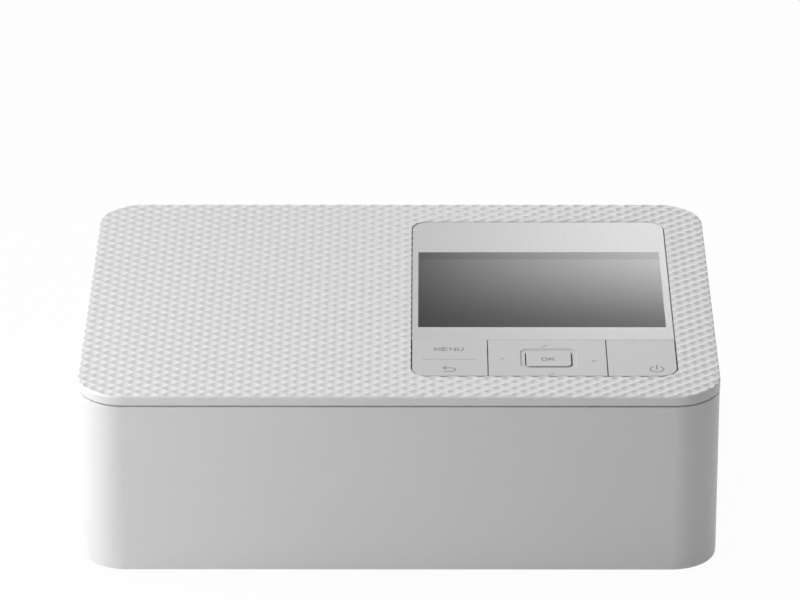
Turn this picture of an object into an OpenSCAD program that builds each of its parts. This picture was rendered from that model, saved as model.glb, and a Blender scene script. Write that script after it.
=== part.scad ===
// Compact photo printer with a hinged front cover, a ribbon door, a fixed display and keys.
// Millimetres. X runs to the right, Y to the back and Z up, with the origin at the bottom centre.

/* [Body] */
// Overall width over the top cover
body_w = 182.2; // [178:0.1:190]
// Overall depth over the top cover
body_d = 133; // [131:0.1:140]
// Overall height from the table to the top cover
body_h = 57.6; // [57:0.1:62]
// Corner radius of the top cover in plan
corner_r = 13.4; // [12:0.1:14]
// Thickness of the moulded outer walls
wall = 2.5; // [2:0.1:2.8]
// Height of the top cover's skirt
lid_skirt = 3.1; // [2.8:0.1:3.6]
// Thickness of the top cover's flat top
lid_top = 2; // [1.8:0.1:2.2]
// Radius of the top cover's upper edge
lid_edge_r = 1; // [0.4:0.1:1.4]
// Open seam between the top cover and the walls below it
seam = 0.5; // [0.45:0.05:0.8]
// Overhang of the top cover beyond the walls
overhang = 0.1; // [0.1:0.05:0.4]
// Height of the base's underside above the table
foot_h = 1.5; // [1.2:0.1:1.8]
// Thickness of the base's floor
floor_t = 2.2; // [1.8:0.1:2.4]
// Diameter of a rubber foot
foot_d = 11; // [9:0.5:13]

/* [Front cover] */
// Depth of the cover's side wings behind its outer face
wing_depth = 14; // [13.4:0.1:15]
// Distance of the cover's hinge behind its outer face
cover_axis_in = 8.4; // [8:0.1:9]
// Height of the cover's hinge above the table
cover_axis_z = 9; // [8.9:0.1:9.6]
// Height of the cover's bottom edge above the table
cover_bottom = 2.3; // [2.2:0.1:2.8]
// Diameter of the cover's hinge pins
cover_pin_d = 3; // [2.5:0.1:3.4]

/* [Ribbon door] */
// Length of the door along the right wall
door_w = 66.6; // [66:0.1:69]
// Distance of the door's back end from the back of the walls
door_back_in = 13.8; // [13.4:0.1:14.2]
// Bottom edge of the door above the table
door_bottom = 8; // [7:0.5:9]
// Top edge of the door above the table
door_top = 44; // [43.9:0.1:46]
// Diameter of the door's hinge pin
door_pin_d = 1.8; // [1.6:0.1:2]

/* [Panel] */
// Distance of the panel's hole from the right side of the top cover
panel_side_in = 11.7; // [11:0.1:13]
// Width of the panel's hole
panel_w = 76; // [75:0.1:77]
// Distance of the panel's hole from the front of the top cover
panel_front_in = 13.2; // [12.5:0.1:14]
// Distance of the panel's hole from the back of the top cover
panel_back_in = 12.7; // [12:0.1:14]
// Corner radius of the panel's hole
panel_r = 5.5; // [4:0.1:7]
// Depth of the key area, measured back from the panel's front edge
key_area_d = 24; // [23:0.1:26]
// Width of the left key
menu_key_w = 21.7; // [20:0.1:24]
// Width of the right key
power_key_w = 19.8; // [18:0.1:22]
// Gap between neighbouring keys and round the panel
key_gap = 0.5; // [0.4:0.05:0.6]
// How far the keys' tops lie below the top cover
key_sink = 0.2; // [0.1:0.05:0.4]
// How far the display's front lies below the top cover
bezel_sink = 0.9; // [0.6:0.05:1]
// Thickness of the display's front sheet
bezel_t = 1.2; // [1:0.1:1.4]
// Left margin of the picture area inside the panel's hole
lcd_margin = 2; // [1.8:0.1:3]
// Width of the picture area
lcd_w = 71.7; // [70:0.1:72]
// Height of the picture area
lcd_h = 52.2; // [50:0.1:54]
// Distance from the key area to the picture area
lcd_above_keys = 8.7; // [7:0.1:10]
// Size of the OK key along X
ok_w = 12.8; // [11:0.1:13.4]
// Size of the OK key along Y
ok_d = 9.6; // [9:0.1:10]
// Key travel
key_travel = 0.5; // [0.3:0.05:0.55]

/* [Paper path] */
// Room for the drive and the main board, left of the paper bay
drive_room = 48.7; // [47:0.1:50]
// Room for the hinges and the ribbon door, right of the paper bay
door_room = 10.7; // [10.5:0.1:11]
// Height of the bay's floor above the table
bay_floor = 9.8; // [9.5:0.1:10.5]
// Height of the bay's side walls above its floor
bay_side_h = 24.2; // [22:0.2:25]
// Height of the paper path above the table
path_z = 19; // [18.8:0.1:19.4]
// Distance of the rollers' working faces from the bay's sides
roller_in = 5; // [4:0.1:6]
// Diameter of the platen roller
platen_d = 12; // [11:0.1:12.4]
// Distance of the platen roller in front of the supply spool
platen_ahead = 17.4; // [17:0.1:18]
// Diameter of the grip roller and of the pinch roller
grip_d = 8; // [7:0.1:8.6]
// Distance of the grip roller in front of the take-up spool
grip_ahead = 18; // [17.8:0.1:19]
// Diameter of the pick-up roller
pickup_d = 11; // [10:0.2:12]
// Height of the rear paper slot
slot_h = 9; // [8:0.1:10]

/* [Ribbon] */
// Distance of the supply spool in front of the back wall
supply_ahead = 23.9; // [23.4:0.1:24.1]
// Distance between the two spools
spool_pitch = 36; // [35.8:0.1:36.5]
// Outside diameter of the cassette's two tubes
lobe_d = 23.2; // [22:0.1:23.2]
// Wall of the cassette's tubes
lobe_wall = 1.2; // [1:0.1:1.4]
// Clearance between the paper path and the cassette
lobe_lift = 1.2; // [1:0.1:1.6]

/* [Chassis and drive] */
// Thickness of the steel side plates
plate_t = 1.2; // [1:0.1:1.5]
// Gear module
gear_m = 0.6; // [0.58:0.01:0.6]
// Face width of the gears
gear_t = 4; // [3:0.1:4.2]
// Diameter of the roller shafts
shaft_d = 6; // [5:0.1:6.2]
// Diameter of the drive motor
motor_d = 25; // [22:0.5:26]
// Diameter of the ribbon motor
ribbon_motor_d = 20; // [18:0.5:21]

/* [Hidden] */

$fn = 64;
eps = 0.01;
white = [0.9, 0.9, 0.91];
steel = [0.7, 0.72, 0.74];

// Clearances
run_clear = 0.05;       // shaft in its bore, radial
move_clear = 0.35;      // between parts that swing past each other
fit_gap = 0.2;          // between fixed mouldings
cover_gap = 0.4;        // vertical seam between the front cover and the side walls

// Heights of the case
lid_bottom = body_h - lid_skirt;
shell_top = lid_bottom - seam;
lid_under = body_h - lid_top;
lip_h = 3.7;
lip_t = 1.2;
floor_top = foot_h + floor_t;

// Outer faces of the walls
shell_w = body_w - 2 * overhang;
shell_d = body_d - 2 * overhang;
shell_r = corner_r - overhang;
wall_in_x = shell_w / 2 - wall;
wall_in_y = shell_d / 2 - wall;

// Paper path and spools, set out from the walls
bay_wall = 1.8;
bay_w = 2 * (wall_in_x - bay_wall) - drive_room - door_room;
path_x = (drive_room - door_room) / 2;
supply_y = wall_in_y - supply_ahead;
takeup_y = supply_y - spool_pitch;
platen_y = supply_y - platen_ahead;
grip_y = takeup_y - grip_ahead;

// Front cover
cover_front = -shell_d / 2;
cover_back = cover_front + wing_depth;
cover_axis_y = cover_front + cover_axis_in;
wing_corner_r = cover_axis_z - cover_bottom;
sweep_r = wing_corner_r + cover_gap;
base_front = cover_axis_y + sweep_r + 0.4;
lug_t = 3.2;
ear_t = 3.1;
ear_r = 3.6;
ear_in = path_x + bay_w / 2 + bay_wall + 0.4;
ear_out = ear_in + ear_t;
lug_in = ear_out + 0.3;
lug_out = lug_in + lug_t;

// Ribbon door
door_back = shell_d / 2 - door_back_in;
door_front = door_back - door_w;
door_axis_in = 3.2;
door_axis_x = shell_w / 2 - door_axis_in;
door_axis_z = door_bottom + door_axis_in;
door_ear_r = 2;
door_ear_w = 6;
door_ears = [door_front + 6, door_back - 12];

// Panel
panel_right = body_w / 2 - panel_side_in;
panel_left = panel_right - panel_w;
panel_front = -body_d / 2 + panel_front_in;
panel_back = body_d / 2 - panel_back_in;
panel_d = panel_back - panel_front;
panel_cx = panel_left + panel_w / 2;
panel_cy = panel_front + panel_d / 2;
key_back = panel_front + key_area_d;
sep_menu = panel_left + menu_key_w + key_gap / 2;
sep_power = panel_right - power_key_w - key_gap / 2;
key_top = body_h - key_sink;
key_t = 1.6;
key_bottom = key_top - key_t;
bezel_top = body_h - bezel_sink;
bezel_bottom = bezel_top - bezel_t;
frame_t = 1.4;
frame_top = min(bezel_bottom, lid_under - 0.1);
frame_margin = 3;
lcd_left = panel_left + lcd_margin;
lcd_front = key_back + lcd_above_keys;
lcd_rim = 1;
lcd_deep = 4.5;
ok_x = (sep_menu + sep_power) / 2 + 0.35;
ok_y = panel_front + 11.6;
ok_recess = 1.3;
plunger_r = 1.2;
plunger_gap = 0.1;
switch_top = key_bottom - 1.1 - key_travel - plunger_gap;
switch_h = 2;
board_t = 1.2;
key_board_top = switch_top - switch_h;
switch_places = [
    [panel_left + menu_key_w / 2, key_back - 5], [panel_left + menu_key_w / 2, panel_front + 6],
    [sep_menu + 4, ok_y], [sep_power - 4, ok_y], [ok_x, key_back - 3.2], [ok_x, panel_front + 3],
    [ok_x, ok_y], [panel_right - power_key_w / 2, ok_y]];

// Chassis
plate_l = path_x - bay_w / 2 - bay_wall - fit_gap - plate_t;
plate_r = path_x + bay_w / 2 + bay_wall + fit_gap;
plate_front = base_front + 5;
plate_back = wall_in_y - 3.9;
plate_bottom = floor_top + fit_gap;
plate_top = 49;
plate_corner_r = 6;
tie_t = 1.2;
flange_w = 8;
flange_in = 8;
flange_ys = [plate_front + flange_in, takeup_y + 6, plate_back - flange_in];

// Rollers
roller_x0 = path_x - bay_w / 2 + roller_in;
roller_x1 = path_x + bay_w / 2 - roller_in;
platen_z = path_z - platen_d / 2;
grip_z = path_z - grip_d / 2;
pinch_z = path_z + grip_d / 2 + 0.15;
journal_r = shaft_d / 2;
bush_r = journal_r + 1.5;
small_r = 2;
small_bush_r = small_r + 1.2;
bay_back = grip_y - grip_d / 2 - 1.5;
pickup_pivot = [plate_front + 21.5, path_z + 25];
pickup_axis = pickup_pivot - [13, 4.3];

// Ribbon cassette
lobe_r = lobe_d / 2;
spool_z = path_z + lobe_lift + lobe_r;
case_x0 = plate_l + plate_t + 3.5;
case_x1 = wall_in_x - 2;
case_end_l = 2.5;
case_end_r = 9;
film_z = path_z + lobe_lift + 0.35;

// Thermal head
head_w = 9;
head_y = platen_y - 1.2;
head_lift = 2.4;
head_bottom = film_z + head_lift;
head_pivot = [plate_back - 4, spool_z + lobe_r + 3];
arm_bottom = spool_z + lobe_r + 1.2;
arm_top = arm_bottom + 3.4;

// Gear train
gear_x_a = plate_l - 1 - gear_t;
gear_x_b = gear_x_a - 1 - gear_t;
bracket_x = gear_x_b - 5;
grip_teeth = 34;
idler_small = 16;
idler_big = 42;
pinion_teeth = 14;
takeup_teeth = 36;
idler_angle = 120;
pinion_angle = 150;
ribbon_angle = 30;
idler_pos = [grip_y, grip_z] + mesh_dist(grip_teeth, idler_small) * [cos(idler_angle), sin(idler_angle)];
pinion_pos = idler_pos + mesh_dist(idler_big, pinion_teeth) * [cos(pinion_angle), sin(pinion_angle)];
takeup_pos = [takeup_y, spool_z];
ribbon_pos = takeup_pos + mesh_dist(takeup_teeth, pinion_teeth) * [cos(ribbon_angle), sin(ribbon_angle)];
stud_r = 1.2;
web_t = 1.2;
web_rim = 2.6;
web_hub = 4.4;

// Main board
board_x0 = -wall_in_x + 2;
board_x1 = bracket_x + 1;
board_front_in = 34;
board_y0 = base_front + board_front_in;
board_y1 = wall_in_y - 7;
board_z = 9;
board_top = board_z + 1.6;
board_post_in = 4;
jack_w = 10;
jack_h = 10.6;
jack_x = -wall_in_x + 18.5;
card_w = 26;
card_len = 27;
card_y = board_y0 + 25.5;
usb_w = 9.2;
usb_len = 8.4;
usb_y = card_y + card_w / 2 + 14;
port_h = 3.6;

// Outline helpers: a rounded rectangle, a slab of it, and a slab with a rounded top edge
module rounded_plan(w, d, r) {
    for (x = [-1, 1], y = [-1, 1]) translate([x * (w / 2 - r), y * (d / 2 - r)]) circle(r);
    square([w - 2 * r, d], center = true);
    square([w, d - 2 * r], center = true);
}

module slab(w, d, r, z0, z1) {
    translate([0, 0, z0]) linear_extrude(z1 - z0) rounded_plan(w, d, r);
}

module edge_profile(r, h, e) {
    difference() {
        square([r, h]);
        translate([r - e, h - e]) difference() {
            square([e + 1, e + 1]);
            circle(e);
        }
    }
}

module soft_slab(w, d, r, h, e) {
    for (m = [0, 1]) mirror([m, 0, 0]) translate([w / 2 - r, 0, 0])
        rotate([90, 0, 0]) linear_extrude(d - 2 * r, center = true) edge_profile(r, h, e);
    for (m = [0, 1]) mirror([0, m, 0]) translate([0, d / 2 - r, 0])
        rotate([90, 0, 90]) linear_extrude(w - 2 * r, center = true) edge_profile(r, h, e);
    for (q = [[1, 1, 0], [-1, 1, 90], [-1, -1, 180], [1, -1, 270]])
        translate([q[0] * (w / 2 - r), q[1] * (d / 2 - r), 0]) rotate(q[2])
            rotate_extrude(angle = 90) edge_profile(r, h, e);
    translate([r - w / 2, r - d / 2, 0]) cube([w - 2 * r, d - 2 * r, h]);
}

// Box between two corners, rods along X and Y, and flat outlines carried along X and Y
module block(low, high) {
    translate(low) cube(high - low);
}

module rod_x(r, x0, x1, at) {
    translate([x0, at[0], at[1]]) rotate([0, 90, 0]) cylinder(r = r, h = x1 - x0);
}

module rod_y(r, y0, y1, at) {
    translate([at[0], y1, at[1]]) rotate([90, 0, 0]) cylinder(r = r, h = y1 - y0);
}

module rod_z(r, z0, z1, at) {
    translate([at[0], at[1], z0]) cylinder(r = r, h = z1 - z0);
}

module along_x(x0, x1) {
    translate([x0, 0, 0]) rotate([90, 0, 90]) linear_extrude(x1 - x0) children();
}

module along_y(y0, y1) {
    translate([0, y1, 0]) rotate([90, 0, 0]) linear_extrude(y1 - y0) children();
}

// Straight bar with round ends between two points of an outline
module link(a, b, r) {
    d = b - a;
    translate(a) circle(r);
    translate(b) circle(r);
    translate(a) rotate(atan2(d[1], d[0])) translate([0, -r]) square([norm(d), 2 * r]);
}

// Spur gears with involute flanks
pressure = 20;
backlash = 0.07;
function mesh_dist(a, b) = gear_m * (a + b) / 2;
function roll(r, rb) = sqrt(max(0, pow(r / rb, 2) - 1)) * 180 / PI;
function flank(r, rb) = roll(r, rb) - atan(roll(r, rb) * PI / 180);
function gear_points(n) =
    let (rp = gear_m * n / 2, rb = rp * cos(pressure), ra = rp + gear_m, rf = rp - 1.25 * gear_m)
    let (half = 90 / n - backlash / rp * 90 / PI + flank(rp, rb))
    [for (i = [0 : n - 1], s = [[rf, -1], [rp, -1], [ra, -1], [ra, 1], [rp, 1], [rf, 1]])
        let (r = s[0], a = i * 360 / n + s[1] * (half - (r > rb ? flank(r, rb) : 0)))
        [r * cos(a), r * sin(a)]];

module gear(n, x0, at, turn, bore_r) {
    translate([0, at[0], at[1]]) along_x(x0, x0 + gear_t) difference() {
        rotate(turn) polygon(gear_points(n));
        circle(bore_r);
    }
}

// Ring sunk into one face of a large gear, between its hub and its rim
module gear_web(n, x0, at) {
    translate([0, at[0], at[1]]) along_x(x0 - 1, x0 + web_t) difference() {
        circle(gear_m * n / 2 - web_rim);
        circle(web_hub);
    }
}

// Base: floor with ears for the cover's hinge, feet pockets, board posts and cooling slots
module pan_plan() {
    intersection() {
        rounded_plan(2 * (wall_in_x - fit_gap), 2 * (wall_in_y - fit_gap), shell_r - wall - fit_gap);
        translate([-body_w / 2, base_front]) square([body_w, body_d]);
    }
}

foot_side_in = 20;
foot_front_in = 10;
foot_back_in = 16;
foot_x = shell_w / 2 - foot_side_in;
foot_front = base_front + foot_front_in;
foot_back = shell_d / 2 - foot_back_in;
foot_sink = 0.8;
foot_r = foot_d / 2;

module foot_places() {
    for (x = [-foot_x, foot_x], y = [foot_front, foot_back]) translate([x, y, 0]) children();
}

tab_front = base_front + 26;
tab_back = wall_in_y - 33.9;
shell_tabs = [[-1, tab_front], [-1, tab_back], [1, tab_front], [1, tab_back]];
tab_l = 9;
tab_w = 10;
tab_t = 2;
screw_r = 1.3;

vent_w = 2;
vent_pitch = 6;

module base_pan() {
    color(white) difference() {
        union() {
            translate([0, 0, foot_h]) linear_extrude(floor_t) pan_plan();
            difference() {
                translate([0, 0, floor_top - eps]) linear_extrude(4) pan_plan();
                translate([0, 0, floor_top - 2 * eps]) linear_extrude(5)
                    rounded_plan(2 * (wall_in_x - 1.8), 2 * (wall_in_y - 1.8), shell_r - wall - 1.8);
                for (t = shell_tabs) translate([t[0] * wall_in_x, t[1], floor_top + 2])
                    cube([8, tab_w + 1, 5], center = true);
                for (y = door_ears) block([door_axis_x - 10, y - 0.3, floor_top - eps],
                    [wall_in_x, y + door_ear_w + 0.3, body_h]);
            }
            for (m = [0, 1]) mirror([m, 0, 0]) {
                hinge_ear(ear_in);
            }
            for (x = [board_x0 + board_post_in, board_x1 - board_post_in],
                y = [board_y0 + board_post_in, board_y1 - board_post_in])
                rod_z(3, floor_top - eps, board_z, [x, y]);
        }
        foot_places() translate([0, 0, foot_h - 1]) cylinder(r = foot_r + 0.1, h = 1 + foot_sink);
        for (m = [0, 1]) mirror([m, 0, 0])
            rod_x(cover_pin_d / 2 + run_clear, ear_in - 1, ear_out + 1, [cover_axis_y, cover_axis_z]);
        for (x = [board_x0 + 2 * board_post_in : vent_pitch : board_x1 - vent_pitch])
            block([x - vent_w / 2, takeup_y - 9, 0],
                [x + vent_w / 2, takeup_y - 9 + spool_pitch, floor_top + 1]);
        for (t = shell_tabs) rod_z(screw_r, 0, 9, [t[0] * (wall_in_x - tab_l / 2), t[1]]);
        for (x = [plate_l - flange_w / 2, plate_r + plate_t + flange_w / 2 - 1.6], y = flange_ys)
            rod_z(screw_r - 0.3, floor_top - 1.6, 9, [x, y]);
    }
}

module hinge_ear(x0) {
    along_x(x0, x0 + ear_t) {
        link([cover_axis_y, cover_axis_z], [base_front + 0.8, cover_axis_z], ear_r);
        translate([base_front, floor_top - 0.5]) square([0.8 + ear_r, cover_axis_z - floor_top + 0.5]);
    }
}

module rubber_feet() {
    color([0.35, 0.35, 0.36]) foot_places() {
        translate([0, 0, 0.4]) cylinder(r = foot_r, h = foot_h + foot_sink - 0.4);
        cylinder(r1 = foot_r - 0.4, r2 = foot_r, h = 0.4);
    }
}

// Walls: left, back and right side of the case in one moulding
module wall_ring(z0, z1) {
    difference() {
        slab(shell_w, shell_d, shell_r, z0, z1);
        slab(2 * wall_in_x, 2 * wall_in_y, shell_r - wall, z0 - 1, z1 + 1);
    }
}

louvre_h = 10;
louvre_drop = 8;
slot_x0 = path_x - bay_w / 2 + 2;
slot_x1 = path_x + bay_w / 2 - 2;
slot_z0 = path_z - 3;

module body_shell() {
    color(white) difference() {
        union() {
            intersection() {
                wall_ring(cover_bottom, shell_top);
                block([-body_w, cover_back + cover_gap, 0], [body_w, body_d, body_h]);
            }
            for (t = shell_tabs) block(
                [t[0] > 0 ? wall_in_x - tab_l : -wall_in_x - eps, t[1] - tab_w / 2, floor_top],
                [t[0] > 0 ? wall_in_x + eps : -wall_in_x + tab_l, t[1] + tab_w / 2, floor_top + tab_t]);
            along_y(wall_in_y - 3, wall_in_y + eps) difference() {
                translate([slot_x0 - 2, slot_z0 - 2]) square([slot_x1 - slot_x0 + 4, slot_h + 4]);
                translate([slot_x0, slot_z0]) square([slot_x1 - slot_x0, slot_h]);
            }
        }
        translate([0, cover_axis_y, cover_axis_z]) along_x(-body_w, body_w) {
            circle(sweep_r);
            translate([-body_d, -cover_axis_z]) square([body_d + sweep_r, cover_axis_z]);
        }
        block([wall_in_x - eps, door_front - move_clear, door_bottom - move_clear],
            [body_w, door_back + move_clear, door_top + move_clear]);
        block([slot_x0, 0, slot_z0], [slot_x1, body_d, slot_z0 + slot_h]);
        block([jack_x - jack_w / 2 - 1, wall_in_y - 1, board_top - 0.4],
            [jack_x + jack_w / 2 + 1, body_d, board_top + jack_h + 0.8]);
        for (c = [[card_y, card_w + 1], [usb_y, usb_w + 1.2]])
            block([-body_w, c[0] - c[1] / 2, board_top - 0.2],
                [-wall_in_x + 1, c[0] + c[1] / 2, board_top + port_h + 0.4]);
        for (i = [0 : 9])
            translate([jack_x + 1 + 2 * i * vent_w, wall_in_y - 1, shell_top - louvre_drop - louvre_h])
                cube([vent_w, body_d, louvre_h]);
        for (t = shell_tabs) rod_z(screw_r - 0.3, 0, 20, [t[0] * (wall_in_x - tab_l / 2), t[1]]);
    }
    color(white) for (y = door_ears) difference() {
        door_ear(y);
        rod_y(door_pin_d / 2 + run_clear, y - 1, y + door_ear_w + 1, [door_axis_x, door_axis_z]);
    }
}

module door_ear(y) {
    in_x = door_axis_x - 5.4;
    low_z = floor_top + 0.3;
    along_y(y, y + door_ear_w) {
        link([door_axis_x, door_axis_z], [in_x, door_axis_z], door_ear_r);
        translate([in_x - door_ear_r, low_z]) square([3.8, door_axis_z - low_z]);
        translate([in_x - door_ear_r, low_z]) square([wall_in_x - in_x + door_ear_r + eps, 2.8]);
    }
}

module base_screws() {
    color(steel) for (t = shell_tabs) {
        rod_z(screw_r - 0.3, foot_h, floor_top + tab_t - 0.2, [t[0] * (wall_in_x - tab_l / 2), t[1]]);
        rod_z(2.4, foot_h - 1, foot_h, [t[0] * (wall_in_x - tab_l / 2), t[1]]);
    }
}

// Top cover with its hollow underside, locating lip and the panel's hole
module panel_plan(grow) {
    translate([panel_cx, panel_cy]) rounded_plan(panel_w + 2 * grow, panel_d + 2 * grow, panel_r + grow);
}

module lid_shell() {
    color(white) difference() {
        union() {
            difference() {
                translate([0, 0, lid_bottom]) soft_slab(body_w, body_d, corner_r, lid_skirt, lid_edge_r);
                slab(2 * wall_in_x, 2 * wall_in_y, shell_r - wall, lid_bottom - 1, lid_under);
            }
            difference() {
                slab(2 * (wall_in_x - move_clear), 2 * (wall_in_y - move_clear), shell_r - wall - move_clear,
                    lid_under - lip_h, lid_under + eps);
                slab(2 * (wall_in_x - move_clear - lip_t), 2 * (wall_in_y - move_clear - lip_t),
                    shell_r - wall - move_clear - lip_t, lid_under - lip_h - 1, lid_under + 1);
            }
            difference() {
                slab(2 * wall_in_x + 1, 2 * wall_in_y + 1, shell_r - wall, lid_under - 1.2, lid_under + eps);
                slab(2 * (wall_in_x - move_clear - lip_t / 2), 2 * (wall_in_y - move_clear - lip_t / 2),
                    shell_r - wall - move_clear - lip_t / 2, lid_under - 2, lid_under + 1);
            }
        }
        translate([0, 0, lid_under - 1]) linear_extrude(lid_top + 2) panel_plan(0);
    }
    lid_ribs();
}

// Ribs under the closed left part of the top cover
module lid_ribs() {
    x1 = panel_left - frame_margin - rib_t - 1;
    color(white) for (i = [1 : 3])
        block([x1 - i * lid_rib_pitch, -wall_in_y + lid_rib_in, lid_under - rib_h],
            [x1 - i * lid_rib_pitch + rib_t, wall_in_y - lid_rib_in, lid_under + eps]);
}

rib_t = 1.2;
rib_h = 1.2;
lid_rib_pitch = 21;
lid_rib_in = 8;
cover_rib_in = 28.5;

// Front cover: a full-width panel whose wings wrap the corners, with two hinge lugs
module cover_lug(x0) {
    along_x(x0, x0 + lug_t) difference() {
        link([cover_front + wall - 0.5, cover_axis_z + 2], [cover_axis_y, cover_axis_z], ear_r - 0.4);
        translate([cover_axis_y, cover_axis_z]) circle(cover_pin_d / 2 + run_clear);
    }
}

module front_cover() {
    rib_x = wall_in_x - cover_rib_in;
    rib_y = cover_front + wall;
    rib_z_in = 6;
    color(white) difference() {
        intersection() {
            wall_ring(cover_bottom, shell_top);
            block([-body_w, -body_d, 0], [body_w, cover_back, body_h]);
        }
        translate([0, cover_axis_y, cover_axis_z]) along_x(-body_w, body_w) difference() {
            translate([0, -cover_axis_z]) square([wing_depth, cover_axis_z]);
            circle(wing_corner_r);
        }
    }
    color(white) {
        intersection() {
            slab(shell_w - wall, shell_d - wall, shell_r - wall / 2, 0, body_h);
            for (m = [0, 1]) mirror([m, 0, 0]) cover_lug(lug_in);
        }
        for (i = [-3 : 3]) block([i * rib_x / 3 - rib_t / 2, rib_y - eps, cover_axis_z + rib_z_in],
            [i * rib_x / 3 + rib_t / 2, rib_y + rib_h, shell_top - rib_z_in]);
        for (z = [cover_axis_z + rib_z_in, shell_top - rib_z_in - rib_t])
            block([-rib_x - rib_t / 2, rib_y - eps, z], [rib_x + rib_t / 2, rib_y + rib_h, z + rib_t]);
    }
}

module cover_pins() {
    color(steel) for (m = [0, 1]) mirror([m, 0, 0])
        rod_x(cover_pin_d / 2, ear_in, lug_out, [cover_axis_y, cover_axis_z]);
}

// Ribbon door: flat panel on the right wall, rounded round its hinge at the bottom
module ribbon_door() {
    x1 = door_axis_x + door_axis_in;
    color(white) difference() {
        union() {
            block([wall_in_x, door_front, door_axis_z], [x1, door_back, door_top]);
            rod_y(door_axis_in, door_front, door_back, [door_axis_x, door_axis_z]);
            for (y = [door_front + 6, door_back - 10]) block(
                [wall_in_x - 1.5, y, door_top - 6], [wall_in_x + eps, y + 4, door_top - 3]);
        }
        rod_y(door_pin_d / 2 + run_clear, door_front + 3, door_back + 1, [door_axis_x, door_axis_z]);
        for (y = door_ears) {
            rod_y(door_ear_r + move_clear, y - 0.3, y + door_ear_w + 0.3, [door_axis_x, door_axis_z]);
            block([door_axis_x - 2 * door_axis_in, y - 0.3, door_axis_z - 2 * door_axis_in],
                [body_w, y + door_ear_w + 0.3, door_axis_z - 0.8]);
            block([door_axis_x - 2 * door_axis_in, y - 0.3, door_axis_z - 1],
                [wall_in_x, y + door_ear_w + 0.3, door_axis_z + door_axis_in + 1]);
        }
    }
}

module door_pin() {
    color(steel) rod_y(door_pin_d / 2, door_front + 3.2, door_back - 0.5, [door_axis_x, door_axis_z]);
}

// Panel: carrier frame, display front, picture window, display module and keys
module key_windows() {
    for (k = [[panel_left + 2.5, sep_menu - 1.5], [sep_menu + 1.5, sep_power - 1.5],
            [sep_power + 1.5, panel_right - 2.5]])
        translate([k[0], panel_front + 1.2]) square([k[1] - k[0], key_area_d - 2.7]);
}

module panel_frame() {
    color(white) difference() {
        union() {
            translate([0, 0, frame_top - frame_t]) linear_extrude(frame_t) panel_plan(frame_margin);
            for (x = [panel_left + 0.9, sep_menu, sep_power, panel_right - 0.9],
                y = [panel_front + 4, key_back - 2])
                rod_z(0.8, key_board_top, frame_top - frame_t + eps, [x, y]);
        }
        translate([0, 0, frame_top - 9]) linear_extrude(10) {
            translate([lcd_left - lcd_rim - fit_gap, lcd_front - lcd_rim - fit_gap])
                square([lcd_w + 2 * (lcd_rim + fit_gap), lcd_h + 2 * (lcd_rim + fit_gap)]);
            key_windows();
        }
        translate([0, 0, key_bottom - key_travel - 0.1]) linear_extrude(5)
            translate([panel_left - 0.1, panel_front - 0.1]) square([panel_w + 0.2, key_area_d + 0.1]);
    }
}

module display_bezel() {
    color(white) translate([0, 0, bezel_bottom]) linear_extrude(bezel_t) difference() {
        intersection() {
            panel_plan(-key_gap);
            translate([panel_left, key_back + key_gap / 2]) square([panel_w, panel_d]);
        }
        translate([lcd_left, lcd_front]) square([lcd_w, lcd_h]);
    }
}

module lcd_window() {
    color([0.35, 0.36, 0.38]) block([lcd_left, lcd_front, bezel_bottom],
        [lcd_left + lcd_w, lcd_front + lcd_h, bezel_top]);
}

module lcd_module() {
    color([0.3, 0.31, 0.33]) {
        block([lcd_left - lcd_rim, lcd_front - lcd_rim, frame_top - lcd_deep],
            [lcd_left + lcd_w + lcd_rim, lcd_front + lcd_h + lcd_rim, frame_top - 0.1]);
        block([panel_cx - 10, key_back - 0.4, frame_top - lcd_deep], [panel_cx + 10, lcd_front - lcd_rim + eps,
            frame_top - lcd_deep + 0.3]);
    }
}

module key_plate(x0, x1) {
    translate([0, 0, key_bottom]) linear_extrude(key_t) intersection() {
        panel_plan(-key_gap);
        translate([x0, panel_front]) square([x1 - x0, key_area_d - key_gap / 2]);
    }
}

module plunger(at) {
    rod_z(plunger_r, switch_top + key_travel + plunger_gap, key_bottom + eps, at);
}

module menu_key() {
    color(white) {
        key_plate(panel_left, sep_menu - key_gap / 2);
        for (i = [0, 1]) plunger(switch_places[i]);
    }
}

module dpad_key() {
    color(white) {
        difference() {
            key_plate(sep_menu + key_gap / 2, sep_power - key_gap / 2);
            translate([ok_x, ok_y, key_top - 0.9]) linear_extrude(2)
                rounded_plan(ok_w + 2 * ok_recess, ok_d + 2 * ok_recess, 2.2);
            translate([ok_x, ok_y, key_bottom - 1]) linear_extrude(key_t + 2)
                rounded_plan(ok_w + 0.6, ok_d + 0.6, 1.6);
        }
        for (i = [2 : 5]) plunger(switch_places[i]);
    }
}

module ok_key() {
    color(white) {
        translate([ok_x, ok_y, key_bottom]) linear_extrude(key_t) rounded_plan(ok_w, ok_d, 1.3);
        plunger(switch_places[6]);
    }
}

module power_key() {
    color(white) {
        key_plate(sep_power + key_gap / 2, panel_right);
        plunger(switch_places[7]);
    }
}

module key_board() {
    color([0.15, 0.4, 0.25]) block([panel_left + 0.1, panel_front + 1, key_board_top - board_t],
        [panel_right - 0.1, key_back - 0.5, key_board_top]);
}

module key_switches() {
    color([0.2, 0.2, 0.2]) for (s = switch_places) {
        translate([s[0] - 1.9, s[1] - 1.9, key_board_top]) cube([3.8, 3.8, switch_h - 0.6]);
        rod_z(1, key_board_top + switch_h - 0.6 - eps, switch_top, s);
    }
}

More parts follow.
